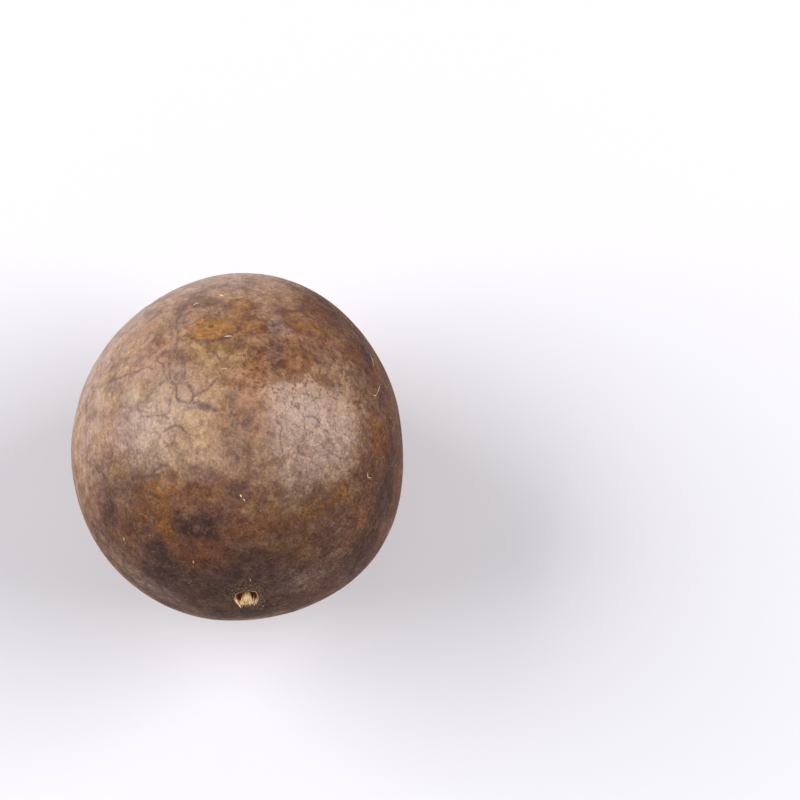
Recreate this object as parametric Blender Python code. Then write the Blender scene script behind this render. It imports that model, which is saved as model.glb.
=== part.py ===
"""A dried monk fruit, lying on its side on a small flat spot.

The fruit is one grown piece: a slightly egg-shaped body, wider towards the stem, with the gentle
swells and dents of drying, a stem scar at one end and the small scar of the style at the other.
The torn stub of its stalk stands in the stem scar.

Frame: +Z up, -Y towards the stem end, origin on the ground under the middle of the fruit.
Sizes are in millimetres until the points are written to a mesh in metres.
"""

import math
import random

import bmesh
import bpy
from mathutils import Vector

MM = 0.001

# Body of the fruit, along and across its own axis.
HALF_LENGTH = 32.6
HALF_WIDTH = 30.6
HALF_HEIGHT = 30.4
EGG_SHAPE = 0.038
AXIS_RISE = math.radians(17.4)

# The flat spot is cut this far up from the lowest point. Skin points this near to the cut go onto it.
FLAT_DEPTH = 0.45
CUT_MERGE = 0.03

# Swells and dents: degrees from the stem, degrees round the axis from +X, height, spread in degrees.
SWELLS = (
    (153.0, 26.0, 1.02, 22.0),
    (43.0, 352.0, 0.87, 22.0),
    (153.0, 150.0, -0.51, 20.0),
    (83.0, 0.0, -0.51, 15.0),
    (13.0, 326.0, -1.14, 18.0),
    (98.0, 216.0, -0.45, 17.0),
    (112.0, 318.0, 0.50, 20.0),
    (128.0, 86.0, 0.15, 18.0),
)

# Scar profiles from the middle outwards: distance from the axis, height over the body.
PIT_FLOOR = -1.5
SOCKET_RADIUS = 1.25
SOCKET_FLOOR = -3.2
SOCKET_TAPER = 0.05
STEM_SCAR = (
    (0.0, SOCKET_FLOOR),
    (SOCKET_RADIUS - SOCKET_TAPER, SOCKET_FLOOR),
    (SOCKET_RADIUS, PIT_FLOOR),
    (1.80, -1.32),
    (2.12, -0.70),
    (2.30, 0.08),
    (2.62, 0.27),
    (3.05, 0.06),
    (3.80, -0.16),
    (4.90, -0.08),
    (6.20, 0.0),
)
STYLE_SCAR = (
    (0.0, 0.30),
    (0.70, 0.24),
    (1.10, -0.06),
    (1.60, -0.30),
    (2.60, -0.24),
    (3.80, -0.10),
    (5.40, 0.0),
)

# Torn stalk: a round root in the socket, then fibres that spread and break off unevenly.
ROOT_GAP = 0.3
ROOT_RADIUS = SOCKET_RADIUS - ROOT_GAP
ROOT_FLOOR = SOCKET_FLOOR + ROOT_GAP
STUB_PROFILE = (
    (ROOT_RADIUS - 0.15, ROOT_FLOOR),
    (ROOT_RADIUS, ROOT_FLOOR + 0.3),
    (ROOT_RADIUS, PIT_FLOOR),
    (1.02, -0.70),
    (1.18, -0.10),
)
FIBRES = 9
FIBRE_TIP_HEIGHT = 1.20
FIBRE_TIP_SPREAD = 0.40
FIBRE_TIP_RADIUS = 1.60
NOTCH_HEIGHT = 0.25
NOTCH_RADIUS = 1.30
HEART_RADIUS = 0.75
HEART_HEIGHT = 0.30
HEART_CROWN = 0.15
POINTS_PER_FIBRE = 3
FIBRE_SEED = 5

SEGMENTS = 64
BODY_RINGS = 34
SHARP_EDGE = math.radians(35.0)

COLOURS = {"rind": (0.30, 0.17, 0.09, 1.0), "stalk_fibre": (0.72, 0.52, 0.28, 1.0)}
ROUGHNESS = {"rind": 0.45, "stalk_fibre": 0.85}


def clear_scene():
    """Removes whatever the scene holds at the start."""
    for obj in list(bpy.data.objects):
        bpy.data.objects.remove(obj)


def smooth_body(theta, phi):
    """The egg-shaped body before drying, as (across, over, along the axis)."""
    swell = 1.0 + EGG_SHAPE * math.cos(theta)
    return Vector((
        HALF_WIDTH * swell * math.sin(theta) * math.cos(phi),
        HALF_HEIGHT * swell * math.sin(theta) * math.sin(phi),
        HALF_LENGTH * math.cos(theta),
    ))


def body_point(theta, phi):
    """A point of the skin: the smooth body with its swells and dents, one after another."""
    point = smooth_body(theta, phi)
    for from_stem, around, height, spread in SWELLS:
        towards = smooth_body(math.radians(from_stem), math.radians(around)).normalized()
        outward = point.normalized()
        angle = math.acos(max(-1.0, min(1.0, outward.dot(towards))))
        point = point + outward * height * math.exp(-0.5 * (angle / math.radians(spread)) ** 2)
    return point


def end_angle(radius):
    """How far from the end of the fruit, as an angle, the skin is this far from the axis."""
    return math.asin(radius / HALF_WIDTH)


def ring_of(theta, height_over, direction):
    """One ring of skin points, lifted along the axis by height_over; direction is 1 at the stem."""
    ring = []
    for step in range(SEGMENTS):
        point = body_point(theta, 2.0 * math.pi * step / SEGMENTS)
        point.z += direction * height_over
        ring.append(point)
    return ring


def fruit_rings():
    """Every ring of the fruit from the socket of the stem scar to the scar of the style."""
    rings = [[body_point(0.0, 0.0) + Vector((0.0, 0.0, STEM_SCAR[0][1]))]]
    for radius, height in STEM_SCAR[1:]:
        rings.append(ring_of(end_angle(radius), height, 1.0))
    start = end_angle(STEM_SCAR[-1][0])
    stop = math.pi - end_angle(STYLE_SCAR[-1][0])
    for step in range(1, BODY_RINGS):
        rings.append(ring_of(start + (stop - start) * step / BODY_RINGS, 0.0, 1.0))
    for radius, height in reversed(STYLE_SCAR[1:]):
        rings.append(ring_of(math.pi - end_angle(radius), height, -1.0))
    rings.append([body_point(math.pi, 0.0) - Vector((0.0, 0.0, STYLE_SCAR[0][1]))])
    return rings


def stub_rings():
    """Rings of the torn stalk. Each fibre has a tip point between two notch points."""
    draw = random.Random(FIBRE_SEED)
    foot = body_point(0.0, 0.0)
    tips = [FIBRE_TIP_HEIGHT + FIBRE_TIP_SPREAD * draw.uniform(-1.0, 1.0) for _ in range(FIBRES)]
    count = POINTS_PER_FIBRE * FIBRES

    def around(radius, height, step):
        angle = 2.0 * math.pi * step / count
        return foot + Vector((radius * math.cos(angle), radius * math.sin(angle), height))

    rings = [[foot + Vector((0.0, 0.0, STUB_PROFILE[0][1]))]]
    for radius, height in STUB_PROFILE:
        rings.append([around(radius, height, step) for step in range(count)])
    crown = []
    for step in range(count):
        is_tip = step % POINTS_PER_FIBRE == 1
        height = tips[step // POINTS_PER_FIBRE] if is_tip else NOTCH_HEIGHT
        crown.append(around(FIBRE_TIP_RADIUS if is_tip else NOTCH_RADIUS, height, step))
    rings.append(crown)
    rings.append([around(HEART_RADIUS, HEART_HEIGHT, step) for step in range(count)])
    rings.append([foot + Vector((0.0, 0.0, HEART_HEIGHT + HEART_CROWN))])
    return rings


def lay_down(point):
    """From the fruit's own axes to the ground frame: the stem end points to -Y and a little up."""
    across, over, along = point
    rise, level = math.sin(AXIS_RISE), math.cos(AXIS_RISE)
    return Vector((across, over * rise - along * level, over * level + along * rise))


def skin_rings(rings):
    """A closed bmesh through the rings; the first and last ring are single points."""
    made = bmesh.new()
    rows = [[made.verts.new(lay_down(point)) for point in ring] for ring in rings]
    for near, far in zip(rows, rows[1:]):
        count = max(len(near), len(far))
        for step in range(count):
            after = (step + 1) % count
            corners = [
                near[step % len(near)],
                far[step % len(far)],
                far[after % len(far)],
                near[after % len(near)],
            ]
            made.faces.new(list(dict.fromkeys(corners)))
    bmesh.ops.recalc_face_normals(made, faces=made.faces)
    return made


def cut_flat_spot(made):
    """Cuts the underside level where the fruit rests, and returns the height of the cut."""
    level = min(vert.co.z for vert in made.verts) + FLAT_DEPTH
    bmesh.ops.bisect_plane(
        made,
        geom=made.verts[:] + made.edges[:] + made.faces[:],
        dist=CUT_MERGE,
        plane_co=(0.0, 0.0, level),
        plane_no=(0.0, 0.0, 1.0),
        clear_inner=True,
    )
    for vert in made.verts:
        if abs(vert.co.z - level) <= CUT_MERGE:
            vert.co.z = level
    open_edges = [edge for edge in made.edges if edge.is_boundary]
    bmesh.ops.holes_fill(made, edges=open_edges)
    bmesh.ops.recalc_face_normals(made, faces=made.faces)
    return level


def ground_shift(solids, level):
    """The move that puts the middle of the whole bounding box, on the flat spot, at the origin."""
    points = [vert.co for made in solids for vert in made.verts]
    middle = [(min(co[axis] for co in points) + max(co[axis] for co in points)) / 2.0 for axis in range(2)]
    return Vector((-middle[0], -middle[1], -level))


def make_material(slot):
    """A plain material with the colour and roughness of this slot."""
    material = bpy.data.materials.new(slot)
    material.use_nodes = True
    shader = material.node_tree.nodes["Principled BSDF"]
    shader.inputs["Base Color"].default_value = COLOURS[slot]
    shader.inputs["Roughness"].default_value = ROUGHNESS[slot]
    shader.inputs["Metallic"].default_value = 0.0
    return material


def add_object(name, made, shift, slot):
    """Moves the solid into place, turns it into metres and links it as a named object."""
    for vert in made.verts:
        vert.co = (vert.co + shift) * MM
    mesh = bpy.data.meshes.new(name)
    made.to_mesh(mesh)
    made.free()
    mesh.materials.append(make_material(slot))
    mesh.shade_smooth()
    mesh.set_sharp_from_angle(angle=SHARP_EDGE)
    obj = bpy.data.objects.new(name, mesh)
    bpy.context.scene.collection.objects.link(obj)
    return obj


def main():
    """Builds the fruit and the stub of its stalk in the ground frame."""
    clear_scene()
    fruit = skin_rings(fruit_rings())
    stub = skin_rings(stub_rings())
    shift = ground_shift((fruit, stub), cut_flat_spot(fruit))
    add_object("fruit", fruit, shift, "rind")
    add_object("stem_stub", stub, shift, "stalk_fibre")


main()
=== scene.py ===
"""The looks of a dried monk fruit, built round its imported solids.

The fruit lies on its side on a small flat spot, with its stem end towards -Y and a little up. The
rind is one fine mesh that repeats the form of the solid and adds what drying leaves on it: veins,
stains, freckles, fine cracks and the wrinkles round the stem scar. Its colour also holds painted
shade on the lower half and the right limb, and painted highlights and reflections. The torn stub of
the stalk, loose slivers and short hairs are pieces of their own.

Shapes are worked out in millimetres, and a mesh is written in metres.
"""

from __future__ import annotations

import itertools
import logging
import math
from collections.abc import Iterable, Sequence
from dataclasses import dataclass, field, replace
from enum import Enum

import bpy
import numpy as np
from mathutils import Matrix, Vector
from mathutils.bvhtree import BVHTree

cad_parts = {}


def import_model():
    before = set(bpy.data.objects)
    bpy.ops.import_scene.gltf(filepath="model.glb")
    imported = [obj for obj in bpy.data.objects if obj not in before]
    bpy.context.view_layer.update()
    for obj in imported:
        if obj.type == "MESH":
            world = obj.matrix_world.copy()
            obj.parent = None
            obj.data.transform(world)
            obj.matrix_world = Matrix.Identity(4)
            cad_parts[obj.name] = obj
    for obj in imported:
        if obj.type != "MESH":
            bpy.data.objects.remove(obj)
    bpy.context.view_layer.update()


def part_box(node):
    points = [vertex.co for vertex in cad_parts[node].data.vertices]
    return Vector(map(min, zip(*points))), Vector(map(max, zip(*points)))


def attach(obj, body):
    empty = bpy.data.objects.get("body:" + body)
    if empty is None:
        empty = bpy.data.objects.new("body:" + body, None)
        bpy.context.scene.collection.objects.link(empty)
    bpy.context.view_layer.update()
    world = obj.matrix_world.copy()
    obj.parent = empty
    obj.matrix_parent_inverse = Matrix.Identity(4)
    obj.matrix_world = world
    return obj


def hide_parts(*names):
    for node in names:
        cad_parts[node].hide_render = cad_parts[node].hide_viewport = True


Points = np.ndarray
Colour = tuple[float, float, float, float]
Pixel = tuple[float, float]
Socket = bpy.types.NodeSocket

MM = 0.001
BODY = "root"

log = logging.getLogger("monk_fruit")


def paint(red: int, green: int, blue: int) -> Colour:
    """Turns a colour as a screen shows it into the linear values that a shader takes.

    Args:
        red: Red, from 0 to 255.
        green: Green, from 0 to 255.
        blue: Blue, from 0 to 255.

    Returns:
        The linear colour, with full alpha.
    """
    parts = [level / 255.0 for level in (red, green, blue)]
    linear = [part / 12.92 if part <= 0.04045 else ((part + 0.055) / 1.055) ** 2.4 for part in parts]
    return (linear[0], linear[1], linear[2], 1.0)


def eased(values: Points, low: float, high: float) -> Points:
    """Rises smoothly from 0 at low to 1 at high.

    Args:
        values: The values to ease.
        low: Where the rise starts.
        high: Where the rise ends; it may be below low for a fall.

    Returns:
        The eased values, from 0 to 1.
    """
    share = np.clip((values - low) / (high - low), 0.0, 1.0)
    return share * share * (3.0 - 2.0 * share)


def unit(vectors: Points) -> Points:
    """Each vector at a length of one."""
    return vectors / np.linalg.norm(vectors, axis=-1, keepdims=True)


class Grain:
    """Seeded smooth noise in space, worked out for many points at once."""

    TABLE = 256
    GAIN = 1.7

    def __init__(self, seed: int) -> None:
        """Draws the table of slopes.

        Args:
            seed: The seed that the noise comes from.
        """
        draw = np.random.default_rng(seed)
        self.order = np.tile(draw.permutation(self.TABLE), 2)
        self.slopes = unit(draw.normal(size=(self.TABLE, 3)))

    def wave(self, points: Points, size: float) -> Points:
        """Smooth noise of one size.

        Args:
            points: Places in millimetres.
            size: How far apart its swells are, in millimetres.

        Returns:
            A value from about -1 to 1 for each point.
        """
        scaled = points / size
        cell = np.floor(scaled).astype(np.int64)
        inside = scaled - cell
        ease = inside**3 * (inside * (inside * 6.0 - 15.0) + 10.0)
        total = np.zeros(len(points))
        for corner in itertools.product((0, 1), repeat=3):
            step = np.array(corner)
            at = (cell + step) & (self.TABLE - 1)
            index = self.order[self.order[self.order[at[:, 0]] + at[:, 1]] + at[:, 2]]
            share = np.prod(np.where(step == 1, ease, 1.0 - ease), axis=1)
            total += share * np.sum((inside - step) * self.slopes[index], axis=1)
        return total * self.GAIN

    def cloud(self, points: Points, size: float, layers: int = 3) -> Points:
        """Noise in layers, each half the size and strength of the one before.

        Args:
            points: Places in millimetres.
            size: The size of the first layer, in millimetres.
            layers: How many layers there are.

        Returns:
            A value from about -1 to 1 for each point.
        """
        parts = [self.wave(points + 17.3 * layer, size / 2**layer) / 2**layer for layer in range(layers)]
        return sum(parts) / (2.0 - 0.5 ** (layers - 1))


@dataclass(frozen=True)
class Swell:
    """A swell or dent of the body: where it is, how high and how wide, in degrees and millimetres."""

    from_stem: float
    around: float
    height: float
    spread: float


@dataclass(frozen=True)
class FruitForm:
    """The grown form, with the sizes of the solid: an egg with swells, a stem scar and a style scar."""

    half_length: float = 32.6
    half_width: float = 30.6
    half_height: float = 30.4
    egg_shape: float = 0.038
    axis_rise: float = math.radians(17.4)
    flat_depth: float = 0.45
    swells: tuple[Swell, ...] = (
        Swell(153.0, 26.0, 1.02, 22.0),
        Swell(43.0, 352.0, 0.87, 22.0),
        Swell(153.0, 150.0, -0.51, 20.0),
        Swell(83.0, 0.0, -0.51, 15.0),
        Swell(13.0, 326.0, -1.14, 18.0),
        Swell(98.0, 216.0, -0.45, 17.0),
        Swell(112.0, 318.0, 0.50, 20.0),
        Swell(128.0, 86.0, 0.15, 18.0),
    )
    stem_scar: tuple[tuple[float, float], ...] = (
        (0.0, -1.5),
        (1.70, -1.36),
        (2.12, -0.70),
        (2.30, 0.08),
        (2.62, 0.27),
        (3.05, 0.06),
        (3.80, -0.16),
        (4.90, -0.08),
        (6.20, 0.0),
    )
    style_scar: tuple[tuple[float, float], ...] = (
        (0.0, 0.30),
        (0.70, 0.24),
        (1.10, -0.06),
        (1.60, -0.30),
        (2.60, -0.24),
        (3.80, -0.10),
        (5.40, 0.0),
    )
    middle: tuple[float, float, float] = (0.0, 0.0, 0.0)
    # Steps from the stem and round the axis at which the form is measured.
    measured_steps: tuple[int, int] = (180, 360)

    def smooth(self, theta: Points, phi: Points) -> Points:
        """The egg before drying, in the fruit's own axes.

        Args:
            theta: Angles from the stem.
            phi: Angles round the axis.

        Returns:
            Points as (across, over, along), in millimetres.
        """
        swell = 1.0 + self.egg_shape * np.cos(theta)
        across = self.half_width * swell * np.sin(theta) * np.cos(phi)
        over = self.half_height * swell * np.sin(theta) * np.sin(phi)
        return np.stack([across, over, self.half_length * np.cos(theta)], axis=-1)

    def skin(self, theta: Points, phi: Points) -> Points:
        """The skin with its swells and dents, one after another, without the scars.

        Args:
            theta: Angles from the stem.
            phi: Angles round the axis.

        Returns:
            Points as (across, over, along), in millimetres.
        """
        points = self.smooth(theta, phi)
        for swell in self.swells:
            place = np.radians([swell.from_stem]), np.radians([swell.around])
            towards = unit(self.smooth(*place))[0]
            outward = unit(points)
            angle = np.degrees(np.arccos(np.clip(outward @ towards, -1.0, 1.0)))
            bump = swell.height * np.exp(-0.5 * (angle / swell.spread) ** 2)
            points = points + outward * bump[..., None]
        return points

    def reach(self, theta: Points) -> Points:
        """How far from the axis the skin is at these angles, as the scars count it."""
        return self.half_width * np.sin(theta)

    def axes(self) -> tuple[Points, Points, Points]:
        """The directions across, over and along the fruit, on the ground."""
        rise, level = math.sin(self.axis_rise), math.cos(self.axis_rise)
        return np.array([1.0, 0.0, 0.0]), np.array([0.0, rise, level]), np.array([0.0, -level, rise])

    def to_ground(self, points: Points) -> Points:
        """Lays points of the fruit's own axes down on the ground.

        Args:
            points: Points as (across, over, along), in millimetres.

        Returns:
            Points as (x, y, z) on the ground, in millimetres.
        """
        return points @ np.stack(self.axes()) + np.array(self.middle)

    def settled(self, low: Vector, high: Vector) -> FruitForm:
        """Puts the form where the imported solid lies.

        Args:
            low: The solid's lowest corner, in metres.
            high: The solid's highest corner, in metres.

        Returns:
            The same form with its middle in place.
        """
        down, turns = self.measured_steps
        theta, phi = np.meshgrid(np.linspace(0.0, math.pi, down), np.linspace(0.0, 2.0 * math.pi, turns))
        loose = self.to_ground(self.skin(theta.ravel(), phi.ravel()))
        solid = [(low[k] + high[k]) / 2.0 / MM for k in range(2)]
        drawn = [(loose[:, k].min() + loose[:, k].max()) / 2.0 for k in range(2)]
        foot = -loose[:, 2].min() - self.flat_depth
        return replace(self, middle=(solid[0] - drawn[0], solid[1] - drawn[1], foot))


def stand(name: str, data: bpy.types.ID, place: Vector, back: Vector) -> bpy.types.Object:
    """Stands a camera or a light in the scene.

    Args:
        name: The object's name.
        data: The camera's or the light's data.
        place: Where it stands, in metres.
        back: The direction of its back, away from what it looks at.

    Returns:
        The object.
    """
    stood = bpy.data.objects.new(name, data)
    stood.location = place
    stood.rotation_mode = "QUATERNION"
    stood.rotation_quaternion = back.to_track_quat("Z", "Y")
    bpy.context.scene.collection.objects.link(stood)
    return stood


@dataclass(frozen=True)
class PhotoView:
    """The camera, and where the middle of the fruit stands in its picture of 800 by 800 pixels."""

    azimuth: float = math.radians(-4.79)
    elevation: float = math.radians(74.0)
    lens: float = 120.0
    sensor: float = 36.0
    picture: int = 800
    mm_per_pixel: float = 0.1837
    middle: Pixel = (238.43, 446.70)
    # The nearest and furthest that it sees, in metres.
    clip: tuple[float, float] = (0.01, 10.0)

    @property
    def distance(self) -> float:
        """From the eye to the fruit's middle, along the line of sight."""
        return self.picture * self.mm_per_pixel * self.lens / self.sensor

    def axes(self) -> tuple[Vector, Vector, Vector]:
        """The camera's own directions.

        Returns:
            The directions right, up and back.
        """
        turn, tilt = self.azimuth, self.elevation
        back = Vector((math.sin(turn) * math.cos(tilt), -math.cos(turn) * math.cos(tilt), math.sin(tilt)))
        right = Vector((math.cos(turn), math.sin(turn), 0.0))
        return right, back.cross(right), back

    def eye(self, middle: Vector) -> Vector:
        """Where the camera stands, in millimetres.

        Args:
            middle: The fruit's middle, in millimetres.

        Returns:
            The place of the lens.
        """
        right, up, back = self.axes()
        half = self.picture / 2.0
        across = (self.middle[0] - half) * self.mm_per_pixel
        above = (half - self.middle[1]) * self.mm_per_pixel
        return middle - right * across - up * above + back * self.distance

    def sight(self, pixel: Pixel) -> Vector:
        """The direction in which the camera sees a pixel.

        Args:
            pixel: The pixel, across and down the picture.

        Returns:
            The direction, away from the camera.
        """
        right, up, back = self.axes()
        half, reach = self.picture / 2.0, self.lens / self.sensor * self.picture
        return (right * ((pixel[0] - half) / reach) + up * ((half - pixel[1]) / reach) - back).normalized()

    def place_camera(self, middle: Vector) -> bpy.types.Object:
        """Makes the scene's camera.

        Args:
            middle: The fruit's middle, in millimetres.

        Returns:
            The camera object.
        """
        data = bpy.data.cameras.new("photo_view")
        data.lens, data.sensor_width = self.lens, self.sensor
        data.clip_start, data.clip_end = self.clip
        camera = stand(data.name, data, self.eye(middle) * MM, self.axes()[2])
        bpy.context.scene.camera = camera
        return camera


class Stain(Enum):
    """What colours the rind. The value names the mesh attribute that holds how much of it there is."""

    OCHRE = "ochre"
    RUST = "rust"
    OLIVE = "olive"
    PLUM = "plum"
    # Dark smudges and spots, and painted shade along the right and lower limb.
    SOOT_AND_SHADE = "soot_and_shade"
    # Pale waxy bloom, and painted highlights and painted limb reflections.
    BLOOM = "bloom_and_highlight"
    # Worn tan skin, and painted highlight in the two light areas.
    WORN_AND_HIGHLIGHT = "worn"
    FRECKLE = "freckle"
    CRACKLE = "crackle"
    # Painted shade on the lower half and the right limb.
    PAINTED_SHADE = "painted_shade"


@dataclass(frozen=True)
class Patch:
    """A stained patch, placed by the pixel of its middle, across and down the camera's picture.

    Its half sizes are real millimetres on the skin, across and up the picture before its turn, which
    is in degrees against the clock.
    """

    across: float
    down: float
    half_width: float
    half_height: float
    strength: float
    turn: float = 0.0


@dataclass(frozen=True)
class Spot:
    """A patch set on the skin: its middle, its two directions, half sizes, strength and kind."""

    stain: Stain
    middle: Points
    first: Points
    second: Points
    half: tuple[float, float]
    strength: float


@dataclass(frozen=True)
class Vein:
    """A vein that shows through the skin, drawn through pixels, with its half width in millimetres."""

    pixels: tuple[Pixel, ...]
    half_width: float = 0.26
    strength: float = 1.0


# The dark eye in the middle of the amber callus.
CALLUS_EYE: Pixel = (211, 326)
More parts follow.
